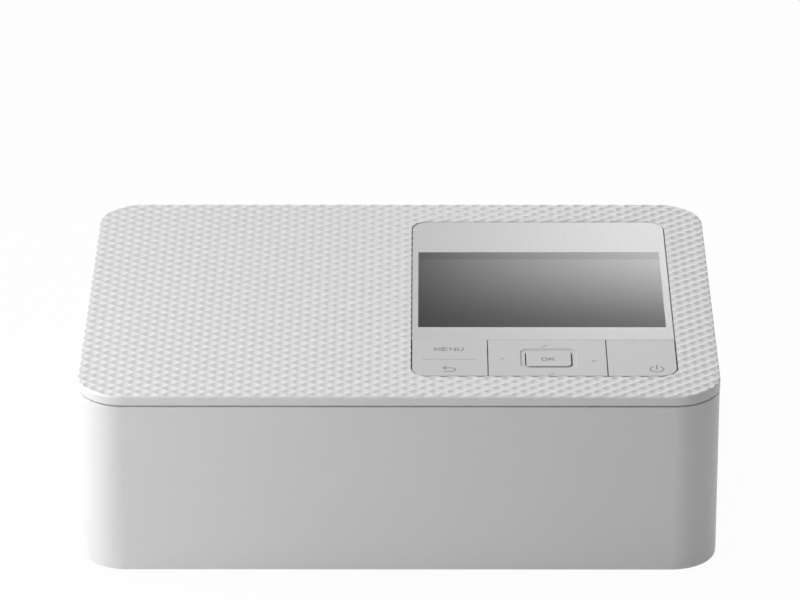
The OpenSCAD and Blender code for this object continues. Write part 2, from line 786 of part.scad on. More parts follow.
// Paper bay, paper guides and the steel chassis
module paper_bay() {
    x0 = path_x - bay_w / 2;
    x1 = path_x + bay_w / 2;
    floor_low = bay_floor - 1.5;
    rib_pitch = bay_w / 6 - 2;
    color(white) {
        difference() {
            block([x0 - bay_wall, base_front, floor_low], [x1 + bay_wall, bay_back, bay_floor + bay_side_h]);
            block([x0, base_front - 1, bay_floor], [x1, bay_back + 1, body_h]);
            for (x = [x0 - bay_wall - 1, x1]) translate([x, base_front - 1, floor_low - 1])
                cube([bay_wall + 1, 3, 2.6]);
        }
        for (i = [0 : 6]) block([x0 + 6 + i * rib_pitch - rib_t / 2, base_front + 1, floor_top],
            [x0 + 6 + i * rib_pitch + rib_t / 2, bay_back - 1, floor_low + eps]);
        along_x(x0, x1) polygon([[bay_back - 6, bay_floor - eps], [bay_back, bay_floor - eps],
            [bay_back, path_z - 4.6], [bay_back - 1.5, path_z - 4.6]]);
    }
}

module paper_guides() {
    color(white) for (g = [[grip_y + grip_d / 2 + 1, platen_y - platen_d / 2 - 1],
            [platen_y + platen_d / 2 + 1, wall_in_y - 4]]) {
        block([plate_l + plate_t + fit_gap, g[0], path_z - 3], [plate_r - fit_gap, g[1], path_z - 1.6]);
        for (x = [roller_x0 : 8 : roller_x1])
            block([x, g[0] + 0.5, path_z - 1.7], [x + 1, g[1] - 0.5, path_z - 0.7]);
    }
}

module shaft_holes() {
    translate([platen_y, platen_z]) circle(bush_r);
    translate([grip_y, grip_z]) circle(small_bush_r);
    translate([grip_y, pinch_z]) circle(small_bush_r);
    translate(pickup_pivot) circle(small_r + run_clear);
    translate(head_pivot) circle(small_r + run_clear);
}

module plate_outline() {
    difference() {
        union() {
            translate([plate_front, plate_bottom])
                square([plate_back - plate_front, plate_top - plate_bottom - plate_corner_r]);
            translate([plate_front + plate_corner_r, plate_bottom])
                square([plate_back - plate_front - 2 * plate_corner_r, plate_top - plate_bottom]);
            for (y = [plate_front + plate_corner_r, plate_back - plate_corner_r])
                translate([y, plate_top - plate_corner_r]) circle(plate_corner_r);
        }
        shaft_holes();
    }
}

module plate_flange(x0, x1) {
    difference() {
        for (y = flange_ys) block([x0, y - 5, plate_bottom], [x1, y + 5, plate_bottom + plate_t]);
        for (y = flange_ys) rod_z(screw_r, 0, 20,
            [x0 < 0 ? plate_l - flange_w / 2 : plate_r + plate_t + flange_w / 2 - 1.6, y]);
    }
}

module chassis_left() {
    color(steel) {
        along_x(plate_l, plate_l + plate_t) difference() {
            plate_outline();
            translate([takeup_y, spool_z]) circle(small_r + 1.5 + run_clear);
            translate([supply_y, spool_z]) circle(small_r + 1.5 + run_clear);
        }
        plate_flange(plate_l - flange_w, plate_l + eps);
        rod_x(stud_r, bracket_x, plate_l + eps, idler_pos);
    }
}

module chassis_right() {
    color(steel) {
        along_x(plate_r, plate_r + plate_t) difference() {
            plate_outline();
            translate([takeup_y - lobe_r - 0.8, spool_z - lobe_r - 0.8])
                square([supply_y - takeup_y + 2 * lobe_r + 1.6, 2 * lobe_r + 1.6]);
        }
        plate_flange(plate_r + plate_t - eps, wall_in_x - 4);
        for (z = latch_studs) rod_x(1, plate_r + plate_t - eps, latch_x1 + 0.2, [latch_y, z]);
    }
}

module chassis_ties() {
    color(steel) {
        block([plate_l + plate_t, plate_front + 6, plate_top - 1 - tie_t],
            [plate_r, plate_front + 14, plate_top - 1]);
        block([plate_l + plate_t, plate_back - 2, slot_z0 + slot_h + 2],
            [plate_r, plate_back - 2 + tie_t, head_pivot[1] - 4]);
    }
}

module chassis_screws() {
    color(steel) for (x = [plate_l - flange_w / 2, plate_r + plate_t + flange_w / 2 - 1.6], y = flange_ys) {
        rod_z(screw_r - 0.35, floor_top - 1.4, plate_bottom + plate_t, [x, y]);
        rod_z(2.3, plate_bottom + plate_t, plate_bottom + plate_t + 1.4, [x, y]);
    }
}

module bushing(r_out, r_in, at) {
    for (x = [plate_l - 0.6, plate_r - 0.6]) difference() {
        rod_x(r_out, x, x + plate_t + 1.2, at);
        rod_x(r_in + run_clear, x - 1, x + plate_t + 3, at);
    }
}

module bushings() {
    color([0.8, 0.65, 0.3]) {
        bushing(bush_r, journal_r, [platen_y, platen_z]);
        bushing(small_bush_r, small_r, [grip_y, grip_z]);
        bushing(small_bush_r, small_r, [grip_y, pinch_z]);
    }
}

module platen_roller() {
    color([0.2, 0.2, 0.21]) difference() {
        rod_x(platen_d / 2, roller_x0, roller_x1, [platen_y, platen_z]);
        rod_x(journal_r + 0.02, roller_x0 - 1, roller_x1 + 1, [platen_y, platen_z]);
    }
}

module platen_shaft() {
    color(steel) rod_x(journal_r, plate_l - 1, plate_r + plate_t + 1, [platen_y, platen_z]);
}

module grip_roller() {
    color(steel) {
        rod_x(grip_d / 2, roller_x0, roller_x1, [grip_y, grip_z]);
        rod_x(small_r, gear_x_a - 0.5, plate_r + plate_t + 1, [grip_y, grip_z]);
    }
}

module pinch_roller() {
    color(steel) {
        rod_x(grip_d / 2, roller_x0, roller_x1, [grip_y, pinch_z]);
        rod_x(small_r, plate_l - 1, plate_r + plate_t + 1, [grip_y, pinch_z]);
    }
}

module pickup_shaft() {
    color(steel) rod_x(small_r, plate_l - 1, plate_r + plate_t + 1, pickup_pivot);
}

arm_t = 3;
arm_pitch = 27;
pickup_w = 12;
arm_xs = [path_x - (arm_pitch + arm_t) / 2, path_x + (arm_pitch - arm_t) / 2];

module pickup_arm() {
    color([0.25, 0.25, 0.26]) {
        for (x = arm_xs) along_x(x, x + arm_t) difference() {
            union() {
                link(pickup_pivot, pickup_axis, small_r + 0.4);
                translate(pickup_pivot) circle(small_r + 1.6);
                translate(pickup_axis) circle(small_r + 1.6);
            }
            translate(pickup_pivot) circle(small_r + run_clear);
            translate(pickup_axis) circle(small_r + run_clear);
        }
        block([arm_xs[0] + 1, pickup_pivot[0] - 6.5, pickup_pivot[1] - 1.5],
            [arm_xs[1] + 2, pickup_pivot[0] - 2.8, pickup_pivot[1] - 0.5]);
    }
}

module pickup_roller() {
    color([0.2, 0.2, 0.21]) {
        rod_x(pickup_d / 2, path_x - pickup_w / 2, path_x + pickup_w / 2, pickup_axis);
        rod_x(small_r, arm_xs[0] - 1, arm_xs[1] + arm_t + 1, pickup_axis);
    }
}

// Drive: motors on a bracket outside the left plate, with a gear train to the grip roller and take-up hub
module gear_bracket() {
    bracket_front = pinion_pos[0] - 8.4;
    bracket_back = supply_y - 5;
    bracket_low = board_top + 12;
    color(steel) {
        along_x(bracket_x - plate_t, bracket_x) difference() {
            translate([bracket_front, bracket_low])
                square([bracket_back - bracket_front, plate_top + 2 - bracket_low]);
            translate(pinion_pos) circle(motor_boss_r + 1);
            translate(ribbon_pos) circle(motor_boss_r + 1);
            translate(idler_pos) circle(stud_r + run_clear);
        }
        for (p = [[bracket_front + 3, plate_top - 22], [supply_y - 10, plate_top - 3],
                [supply_y - 10, plate_top - 23], [takeup_y - 12, plate_top - 2]])
            rod_x(post_r, bracket_x - eps, plate_l, p);
    }
}

motor_boss_r = 3;
motor_shaft_r = 1;
motor_len = 17;
ribbon_motor_len = 22;
post_r = 2;

module motor(r, length, at, shaft_end) {
    color(steel) {
        difference() {
            rod_x(r, bracket_x - plate_t - length, bracket_x - plate_t, at);
            rod_x(r + 1, bracket_x - plate_t - length + 2, bracket_x - plate_t - 2, at);
        }
        rod_x(r - 0.4, bracket_x - plate_t - length + 1, bracket_x - plate_t - 1, at);
        rod_x(motor_boss_r, bracket_x - plate_t - eps, bracket_x, at);
        rod_x(motor_shaft_r, bracket_x - eps, shaft_end, at);
    }
}

module drive_motor() {
    motor(motor_d / 2, motor_len, pinion_pos, gear_x_b + gear_t + 0.4);
}

module ribbon_motor() {
    motor(ribbon_motor_d / 2, ribbon_motor_len, ribbon_pos, gear_x_b + gear_t + 0.4);
}

module drive_pinion() {
    color([0.8, 0.65, 0.3]) gear(pinion_teeth, gear_x_b, pinion_pos,
        mesh_turn(pinion_teeth, idler_big, pinion_angle, 0), motor_shaft_r + 0.02);
}

// Turn of a gear that meshes with a partner turned by t, seen from the partner at an angle
function mesh_turn(n, partner, angle, t) = angle + 180 + 180 / n - (t - angle) * partner / n;

module idler_gear() {
    color(white) {
        difference() {
            gear(idler_big, gear_x_b, idler_pos, 0, stud_r + run_clear);
            gear_web(idler_big, gear_x_b, idler_pos);
        }
        gear(idler_small, gear_x_a, idler_pos, 0, stud_r + run_clear);
        along_x(gear_x_b + gear_t - eps, gear_x_a + eps) translate(idler_pos) difference() {
            circle(3.4);
            circle(stud_r + run_clear);
        }
    }
}

module grip_gear() {
    color(white) difference() {
        gear(grip_teeth, gear_x_a, [grip_y, grip_z],
            mesh_turn(grip_teeth, idler_small, idler_angle + 180, 0), small_r + 0.02);
        gear_web(grip_teeth, gear_x_a, [grip_y, grip_z]);
    }
}

module takeup_gear() {
    color(white) difference() {
        gear(takeup_teeth, gear_x_b, takeup_pos, 0, small_r + 0.02);
        gear_web(takeup_teeth, gear_x_b, takeup_pos);
    }
}

module ribbon_pinion() {
    color([0.8, 0.65, 0.3]) gear(pinion_teeth, gear_x_b, ribbon_pos,
        mesh_turn(pinion_teeth, takeup_teeth, ribbon_angle, 0), motor_shaft_r + 0.02);
}

hub_r = small_r + 1.5;
hub_in = 2.8;

module takeup_hub() {
    color([0.25, 0.25, 0.26]) {
        rod_x(small_r, gear_x_b - 0.5, plate_l, takeup_pos);
        rod_x(hub_r, plate_l - 0.4, case_x0 + hub_in, takeup_pos);
        rod_x(hub_r + 1.5, plate_l + plate_t + 0.3, plate_l + plate_t + 1.5, takeup_pos);
    }
}

module supply_hub() {
    color([0.25, 0.25, 0.26]) {
        rod_x(hub_r, plate_l - 0.4, case_x0 + hub_in, [supply_y, spool_z]);
        rod_x(hub_r + 1.5, plate_l + plate_t + 0.3, plate_l + plate_t + 1.5, [supply_y, spool_z]);
        rod_x(hub_r + 4, plate_l - 2.4, plate_l - 0.4, [supply_y, spool_z]);
    }
}

// Ribbon cassette: two tubes joined by end frames, with spools and ribbon
spool_r = 5;
spool_end_clear = 0.5;

module ribbon_case() {
    color([0.35, 0.36, 0.4]) difference() {
        union() {
            for (y = [takeup_y, supply_y]) rod_x(lobe_r, case_x0, case_x1, [y, spool_z]);
            for (e = [[case_x0, case_x0 + case_end_l], [case_x1 - case_end_r, case_x1]])
                along_x(e[0], e[1]) link([takeup_y, spool_z + 4], [supply_y, spool_z + 4], lobe_r - 4);
        }
        for (y = [takeup_y, supply_y]) {
            rod_x(lobe_r - lobe_wall, case_x0 + case_end_l, case_x1 - case_end_r, [y, spool_z]);
            rod_x(spool_r + 0.3, case_x0 - 1, case_x1 - case_end_r + 3, [y, spool_z]);
            block([roller_x0 - 0.5, y > head_y ? y - lobe_r - 1 : y, film_z - 0.5],
                [roller_x1 + 0.5, y > head_y ? y : y + lobe_r + 1, film_z + 2.5]);
        }
    }
}

module spool(y) {
    difference() {
        union() {
            rod_x(spool_r, case_x0 + 0.4, case_x1 - case_end_r + 2.5, [y, spool_z]);
            for (x = [roller_x0 - 0.7, roller_x1 - 0.3])
                rod_x(lobe_r - lobe_wall - spool_end_clear, x, x + 1, [y, spool_z]);
        }
        rod_x(hub_r + 0.1, case_x0 - 1, case_x0 + hub_in + 1.2, [y, spool_z]);
    }
}

module takeup_spool() {
    color(white) spool(takeup_y);
}

module supply_spool() {
    color(white) spool(supply_y);
}

module supply_roll() {
    color([0.75, 0.6, 0.2]) difference() {
        rod_x(spool_r + 3.6, roller_x0 + 0.5, roller_x1 - 0.5, [supply_y, spool_z]);
        rod_x(spool_r + 0.02, roller_x0, roller_x1, [supply_y, spool_z]);
    }
}

module ribbon_film() {
    color([0.75, 0.6, 0.2]) block([roller_x0 + 0.5, takeup_y + 0.3, film_z],
        [roller_x1 - 0.5, supply_y - 0.3, film_z + 0.1]);
}

// Thermal head on its lifting arms
module thermal_head() {
    color([0.85, 0.83, 0.78]) block([roller_x0, head_y - head_w / 2, head_bottom],
        [roller_x1, head_y + head_w / 2, head_bottom + 1.4]);
}

module head_heatsink() {
    color(steel) difference() {
        block([roller_x0, head_y - head_w / 2, head_bottom + 1.4], [roller_x1, head_y + head_w / 2, arm_bottom]);
        for (x = [roller_x0 + 8 : 5 : roller_x1 - 8]) block([x, head_y - head_w, head_bottom + 8],
            [x + 3, head_y + head_w, arm_bottom + 1]);
    }
}

head_arm_xs = [roller_x0 + 3, roller_x1 - 5];

module head_arms() {
    color(steel) {
        for (x = head_arm_xs) along_x(x, x + 2) difference() {
            union() {
                link(head_pivot, [head_pivot[0] - 8, (arm_bottom + arm_top) / 2], (arm_top - arm_bottom) / 2);
                translate([head_y - head_w / 2, arm_bottom])
                    square([head_pivot[0] - 8 - head_y + head_w / 2, arm_top - arm_bottom]);
                translate(head_pivot) circle(small_r + 1);
            }
            translate(head_pivot) circle(small_r + run_clear);
        }
        block([head_arm_xs[0], head_y - head_w / 2, arm_bottom],
            [head_arm_xs[1] + 2, head_y + head_w / 2, arm_bottom + 1]);
    }
}

module head_shaft() {
    color(steel) rod_x(small_r, plate_l - 1, plate_r + plate_t + 1, head_pivot);
}

module head_springs() {
    color(steel) for (x = [head_arm_xs[0] + 3, head_arm_xs[1] - 9]) difference() {
        rod_x(small_r + 0.9, x, x + 8, head_pivot);
        rod_x(small_r + 0.1, x - 1, x + 9, head_pivot);
    }
}

// Main board in the left bay with its connectors
module main_board() {
    color([0.15, 0.4, 0.25]) block([board_x0, board_y0, board_z], [board_x1, board_y1, board_top]);
}

chip_in = 4;
chip_w = 10;
chip_h = 1.6;
small_chip_w = 7;
chip_y = card_y + card_w / 2 + 4;
coil_w = 7;
coil_h = 5;
can_r = 3;
can_h = 8;

module board_parts() {
    color([0.2, 0.2, 0.2]) {
        for (c = [[board_x0 + chip_in, board_y0 + 1, chip_w], [board_x0 + card_len / 3, chip_y, small_chip_w],
                [board_x1 - chip_in - chip_w + 2, chip_y, chip_w - 1]])
            translate([c[0], c[1], board_top]) cube([c[2], c[2], chip_h]);
        translate([board_x1 - 2 - coil_w, chip_y + chip_w, board_top]) cube([coil_w, coil_w, coil_h]);
        for (x = [board_x1 - 5, board_x1 - 12]) rod_z(can_r, board_top, board_top + can_h, [x, board_y0 + 5]);
    }
}

module dc_jack() {
    color([0.15, 0.15, 0.16]) {
        difference() {
            block([jack_x - jack_w / 2, wall_in_y - 12, board_top],
                [jack_x + jack_w / 2, shell_d / 2 - 1, board_top + jack_h]);
            rod_y(2.8, wall_in_y - 8, shell_d / 2, [jack_x, board_top + 5.6]);
        }
        rod_y(0.8, wall_in_y - 9, shell_d / 2 - 2, [jack_x, board_top + 5.6]);
    }
}

module card_slot() {
    color(steel) difference() {
        block([-wall_in_x - 1, card_y - card_w / 2, board_top],
            [-wall_in_x - 1 + card_len, card_y + card_w / 2, board_top + port_h]);
        block([-body_w, card_y - card_w / 2 + 0.7, board_top + 0.6],
            [-wall_in_x - 2 + card_len, card_y + card_w / 2 - 0.7, board_top + port_h - 0.6]);
    }
}

module usb_port() {
    color(steel) difference() {
        block([-wall_in_x - 1.4, usb_y - usb_w / 2, board_top],
            [-wall_in_x - 1.4 + usb_len, usb_y + usb_w / 2, board_top + port_h]);
        block([-body_w, usb_y - usb_w / 2 + 0.5, board_top + 0.5],
            [-wall_in_x - 2.4 + usb_len, usb_y + usb_w / 2 - 0.5, board_top + port_h - 0.5]);
    }
}

// Latch that holds the cassette; it slides up to let the cassette out
latch_x0 = plate_r + plate_t + 0.2;
latch_x1 = latch_x0 + 2;
latch_y = takeup_y - lobe_r - 2.9;
latch_travel = 3;
latch_studs = [spool_z + 0.5, spool_z + 4];

module ribbon_latch() {
    color([0.35, 0.55, 0.75]) {
        difference() {
            block([latch_x0, latch_y - 2.1, spool_z - 4.4], [latch_x1, latch_y + 2.1, spool_z + 8]);
            for (z = latch_studs) along_x(latch_x0 - 1, latch_x1 + 1)
                link([latch_y, z], [latch_y, z - latch_travel], 1.15);
        }
        block([latch_x1 - eps, latch_y - 2.1, spool_z + 6], [wall_in_x - 2, latch_y + 2.1, spool_z + 8]);
    }
}

base_pan();
rubber_feet();
body_shell();
base_screws();
lid_shell();
front_cover();
cover_pins();
ribbon_door();
door_pin();
panel_frame();
display_bezel();
lcd_window();
lcd_module();
menu_key();
dpad_key();
ok_key();
power_key();
key_board();
key_switches();
paper_bay();
paper_guides();
chassis_left();
chassis_right();
chassis_ties();
chassis_screws();
bushings();
platen_roller();
platen_shaft();
grip_roller();
grip_gear();
pinch_roller();
pickup_shaft();
pickup_arm();
pickup_roller();
gear_bracket();
drive_motor();
drive_pinion();
idler_gear();
ribbon_motor();
ribbon_pinion();
takeup_gear();
takeup_hub();
supply_hub();
ribbon_case();
takeup_spool();
supply_spool();
supply_roll();
ribbon_film();
thermal_head();
head_heatsink();
head_arms();
head_shaft();
head_springs();
main_board();
board_parts();
dc_jack();
card_slot();
usb_port();
ribbon_latch();
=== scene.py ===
"""Compact photo printer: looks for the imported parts, in metres, in the frame that the pack gives."""
from math import atan2, copysign, cos, hypot, inf, pi, radians, sin, sqrt

import bmesh
import bpy
from mathutils import Matrix, Vector
from mathutils.geometry import tessellate_polygon


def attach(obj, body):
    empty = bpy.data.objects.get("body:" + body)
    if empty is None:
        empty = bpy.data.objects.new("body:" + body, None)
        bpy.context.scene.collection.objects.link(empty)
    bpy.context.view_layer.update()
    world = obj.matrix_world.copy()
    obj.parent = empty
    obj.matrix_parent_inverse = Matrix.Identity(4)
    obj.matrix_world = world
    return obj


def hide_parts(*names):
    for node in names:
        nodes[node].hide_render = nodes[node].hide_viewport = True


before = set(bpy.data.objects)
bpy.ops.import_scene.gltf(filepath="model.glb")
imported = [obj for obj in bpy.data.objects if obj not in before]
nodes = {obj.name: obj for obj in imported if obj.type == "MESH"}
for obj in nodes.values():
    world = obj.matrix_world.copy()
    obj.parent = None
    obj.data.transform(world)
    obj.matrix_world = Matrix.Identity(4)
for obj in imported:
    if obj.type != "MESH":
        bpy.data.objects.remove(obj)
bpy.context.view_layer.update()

MM = 0.001

# ---------------------------------------------------------------------------------------------
# Camera: a long lens in front of the printer and 25 degrees above it, level to a tenth of a degree.
CAMERA_PLACE = Vector((8.004, -1327.988, 677.849)) * MM
CAMERA_LENS = 225.18
CAMERA_PITCH = 0.4377595
CAMERA_YAW = -0.0059841
CAMERA_ROLL = -0.0020526

ahead = Vector((sin(CAMERA_YAW) * cos(CAMERA_PITCH), cos(CAMERA_YAW) * cos(CAMERA_PITCH),
                -sin(CAMERA_PITCH)))
level = Vector((cos(CAMERA_YAW), -sin(CAMERA_YAW), 0))
upright = level.cross(ahead)
side = level * cos(CAMERA_ROLL) + upright * sin(CAMERA_ROLL)
top = upright * cos(CAMERA_ROLL) - level * sin(CAMERA_ROLL)
camera = bpy.data.objects.new("camera", bpy.data.cameras.new("camera"))
facing = Matrix((side, top, -ahead)).transposed().to_4x4()
camera.matrix_world = Matrix.Translation(CAMERA_PLACE) @ facing
camera.data.lens = CAMERA_LENS
camera.data.sensor_width = 36
camera.data.clip_end = 20
bpy.context.scene.collection.objects.link(camera)
bpy.context.scene.camera = camera
bpy.context.scene.view_settings.view_transform = "Standard"

# ---------------------------------------------------------------------------------------------
# Studio: soft boxes on the left, near the front left corner, overhead and weakly on the right, a
# graded card behind that shows in the picture window, and a pale table that the camera sees as white.
# Places are in metres here, and in mm from the base pan on. None of it is part of the printer.
SKY_STRENGTH = 0.21
LIT_PLACE = (0, 0, 0.03)
SOFT_BOXES = (
    # name, place, width, height, power
    ("left_box", (-0.95, 0.14, 0.72), 0.45, 0.45, 6.4),
    ("front_box", (-0.36, -0.25, 0.20), 0.2, 0.16, 0.72),
    ("overhead_box", (-0.2, -0.1, 1.0), 0.4, 0.4, 1.6),
    ("right_box", (0.8, 0.0, 0.25), 0.4, 0.4, 0.15))
BACK_BOX_PLACE = Vector((0.055, 0.42, 0.2425))
BACK_BOX_SIZE = (0.16, 0.085)
BACK_BOX_SLANT = radians(25)
BACK_BOX_ENDS = ((0.81, 0.22), (0.72, 0.45))
BACK_BOX_LEVELS = (1.6, 1.25, 6.0)
TABLE_HALF = 4
TABLE_GREY = (0.8, 0.8, 0.8, 1)
TABLE_GLOW = 0.97


def new_node(tree, kind, inputs=None, **settings):
    """A node with its settings made and its inputs fed: sockets are linked, and plain values are set."""
    node = tree.nodes.new(kind)
    for key, value in settings.items():
        setattr(node, key, value)
    for label, value in (inputs or {}).items():
        if isinstance(value, bpy.types.NodeSocket):
            tree.links.new(value, node.inputs[label])
        else:
            node.inputs[label].default_value = value
    return node


def soft_box(name, place, aim, width, height, power):
    lamp = bpy.data.lights.new(name, "AREA")
    lamp.shape = "RECTANGLE"
    lamp.size = width
    lamp.size_y = height
    lamp.energy = power
    stand = bpy.data.objects.new(name, lamp)
    stand.location = place
    stand.rotation_euler = (Vector(aim) - Vector(place)).to_track_quat("-Z", "Y").to_euler()
    bpy.context.scene.collection.objects.link(stand)
    return stand


def reckon(tree, kind, a, b=0.0, **settings):
    """One step of arithmetic on two numbers or sockets."""
    return new_node(tree, "ShaderNodeMath", {0: a, 1: b}, operation=kind, **settings).outputs[0]


def seen_white(tree):
    """1 for rays from the camera, or through gloss or glass, and 0 for light that falls on something."""
    path = new_node(tree, "ShaderNodeLightPath").outputs
    either = reckon(tree, "ADD", path["Is Camera Ray"], path["Is Glossy Ray"], use_clamp=True)
    return reckon(tree, "ADD", either, path["Is Transmission Ray"], use_clamp=True)


def graded(lamp, ends, levels):
    """Lets a soft box grow brighter along X and downwards, as a lit card at a slant does. The ends are
    where each growth starts and stops, and the levels are those at the two ends and what both add."""
    lamp.data.use_nodes = True
    tree = lamp.data.node_tree
    spot = new_node(tree, "ShaderNodeSeparateXYZ",
                    {0: new_node(tree, "ShaderNodeNewGeometry").outputs["Parametric"]}).outputs
    growth = [new_node(tree, "ShaderNodeMapRange", {
        "Value": spot[axis], "From Min": start, "From Max": stop}).outputs[0]
        for axis, (start, stop) in zip("XY", ends)]
    alone = [reckon(tree, "MULTIPLY", part, share) for part, share in zip(growth, levels)]
    both = reckon(tree, "MULTIPLY", reckon(tree, "MULTIPLY", *growth), levels[2])
    strength = reckon(tree, "ADD", reckon(tree, "ADD", *alone), both)
    tree.links.new(strength, tree.nodes["Emission"].inputs["Strength"])


for name, place, width, height, power in SOFT_BOXES:
    soft_box(name, place, LIT_PLACE, width, height, power)
back_aim = BACK_BOX_PLACE - Vector((0, cos(BACK_BOX_SLANT), sin(BACK_BOX_SLANT)))
back_box = soft_box("back_box", BACK_BOX_PLACE, back_aim, *BACK_BOX_SIZE,
                    pi * BACK_BOX_SIZE[0] * BACK_BOX_SIZE[1])
graded(back_box, BACK_BOX_ENDS, BACK_BOX_LEVELS)

world = bpy.data.worlds.new("studio")
bpy.context.scene.world = world
world.use_nodes = True
sky = world.node_tree
sky.nodes.clear()
dim, plain = [new_node(sky, "ShaderNodeBackground", {
    "Strength": strength, "Color": (1, 1, 1, 1)}).outputs[0] for strength in (SKY_STRENGTH, 1)]
mix = new_node(sky, "ShaderNodeMixShader", {0: seen_white(sky), 1: dim, 2: plain})
new_node(sky, "ShaderNodeOutputWorld", {"Surface": mix.outputs[0]})

table = bpy.data.objects.new("table_top", bpy.data.meshes.new("table_top"))
ends = (-TABLE_HALF, TABLE_HALF)
table.data.from_pydata([(x, y, 0) for y in ends for x in ends], [], [(0, 1, 3, 2)])
bpy.context.scene.collection.objects.link(table)
paper = bpy.data.materials.new("pale_table")
paper.use_nodes = True
tree = paper.node_tree
tree.nodes.clear()
matt = new_node(tree, "ShaderNodeBsdfDiffuse", {"Color": TABLE_GREY}).outputs[0]
glow = new_node(tree, "ShaderNodeEmission", {"Strength": 1}).outputs[0]
seen = reckon(tree, "MULTIPLY", seen_white(tree), TABLE_GLOW)
mix = new_node(tree, "ShaderNodeMixShader", {0: seen, 1: matt, 2: glow})
new_node(tree, "ShaderNodeOutputMaterial", {"Surface": mix.outputs[0]})
table.data.materials.append(paper)

# ---------------------------------------------------------------------------------------------
# Base pan: the white moulded floor that everything is screwed to. Its skin has the fine grain of a
# spark-eroded mould, and its rim's edges are rounded.
CASE_WHITE = (0.78, 0.78, 0.785, 1)
MOULD_GRAIN = (2600.0, 2600.0, 2600.0)
SKIN_OUTPUTS = (("Color", "Color"), ("Roughness", "Float"), ("Height", "Float"))
BASE_HALF = (88.3, 63.7, 10.6)
BASE_RIM = 1.6
BASE_EDGE = 0.3
NEAR = 0.01
BEVEL_STEPS = 3
WELD = 0.002 * MM
FLAT = radians(0.5)
SHARP = radians(30)
CREASE = radians(38)


def new_tree(name, kind, inputs, outputs):
    """A node group with named inputs and outputs, and the sockets that its inputs arrive at."""
    tree = bpy.data.node_groups.new(name, kind)
    for label, held, value in inputs:
        socket = tree.interface.new_socket(label, in_out="INPUT", socket_type="NodeSocket" + held)
        if value is not None:
            socket.default_value = value
    for label, held in outputs:
        tree.interface.new_socket(label, in_out="OUTPUT", socket_type="NodeSocket" + held)
    return tree, new_node(tree, "NodeGroupInput").outputs


def noise(tree, place, scale, detail=2.0):
    return new_node(tree, "ShaderNodeTexNoise", {
        "Vector": place, "Scale": scale, "Detail": detail}).outputs["Fac"]


def spread(tree, fac, low, high):
    """fac from 0.3 to 0.7 becomes low to high."""
    return new_node(tree, "ShaderNodeMapRange", {
        "Value": fac, "From Min": 0.3, "From Max": 0.7, "To Min": low, "To Max": high}).outputs[0]


def grained_skin():
    """Grain and faint mottling. Grain is how many grains a metre holds along X, Y and Z, so that a
    lower number along one axis draws it out into streaks."""
    tree, given = new_tree("grained_skin", "ShaderNodeTree", (
        ("Tint", "Color", CASE_WHITE), ("Grain", "Vector", MOULD_GRAIN), ("Mottle", "Float", 0.02),
        ("Roughness", "Float", 0.4)), SKIN_OUTPUTS)
    place = new_node(tree, "ShaderNodeTexCoord").outputs["Object"]
    drawn = new_node(tree, "ShaderNodeVectorMath", {0: place, 1: given["Grain"]}, operation="MULTIPLY")
    grain = noise(tree, drawn.outputs[0], 1.0)
    patches = reckon(tree, "SUBTRACT", noise(tree, place, 55.0), 0.5)
    shade = reckon(tree, "ADD", reckon(tree, "MULTIPLY", patches, given["Mottle"]), 1.0)
    tint = new_node(tree, "ShaderNodeVectorMath", {0: given["Tint"], "Scale": shade}, operation="SCALE")
    rough = reckon(tree, "MULTIPLY", given["Roughness"], spread(tree, grain, 0.92, 1.08))
    new_node(tree, "NodeGroupOutput", {"Color": tint.outputs[0], "Roughness": rough, "Height": grain})
    return tree


def surface(name, skin, values, bump=0.0, depth=0.02, **plain_values):
    """A material: the skin group drives colour, roughness and bump, and the rest is set on the shader."""
    material = bpy.data.materials.new(name)
    material.use_nodes = True
    tree = material.node_tree
    shader = tree.nodes["Principled BSDF"]
    for label, value in plain_values.items():
        shader.inputs[label.replace("_", " ").title().replace("Ior", "IOR")].default_value = value
    group = new_node(tree, "ShaderNodeGroup", values, node_tree=skin).outputs
    tree.links.new(group["Color"], shader.inputs["Base Color"])
    tree.links.new(group["Roughness"], shader.inputs["Roughness"])
    if bump:
        relief = new_node(tree, "ShaderNodeBump", {
            "Strength": bump, "Distance": depth * MM, "Height": group["Height"]})
        tree.links.new(relief.outputs[0], shader.inputs["Normal"])
    return material


def dress(material, *names):
    for name in names:
        for place in nodes[name].material_slots:
            place.material = material


def soft_copy(node, name, width, wanted, eased=None):
    """A copy of a CAD node with the wanted edges rounded. wanted(a, b) is asked for each sharp edge and
    may answer with a width of its own; eased(p), where given, says where a point goes first."""
    shape = bmesh.new()
    shape.from_mesh(nodes[node].data)
    bmesh.ops.remove_doubles(shape, verts=shape.verts, dist=WELD)
    for v in shape.verts if eased else ():
        v.co = eased(v.co / MM) * MM
    bmesh.ops.dissolve_limit(shape, angle_limit=FLAT, verts=shape.verts, edges=shape.edges)
    rounded = {}
    for e in shape.edges:
        if len(e.link_faces) == 2 and e.calc_face_angle(0) > SHARP:
            own = wanted(e.verts[0].co / MM, e.verts[1].co / MM)
            if own:
                rounded.setdefault(width if own is True else own, []).append(e)
    for offset, edges in rounded.items():
        bmesh.ops.bevel(shape, geom=[e for e in edges if e.is_valid], offset=offset * MM,
                        segments=BEVEL_STEPS, profile=0.5, affect="EDGES")
    return shown(name, shape, nodes[node].data.materials[0])


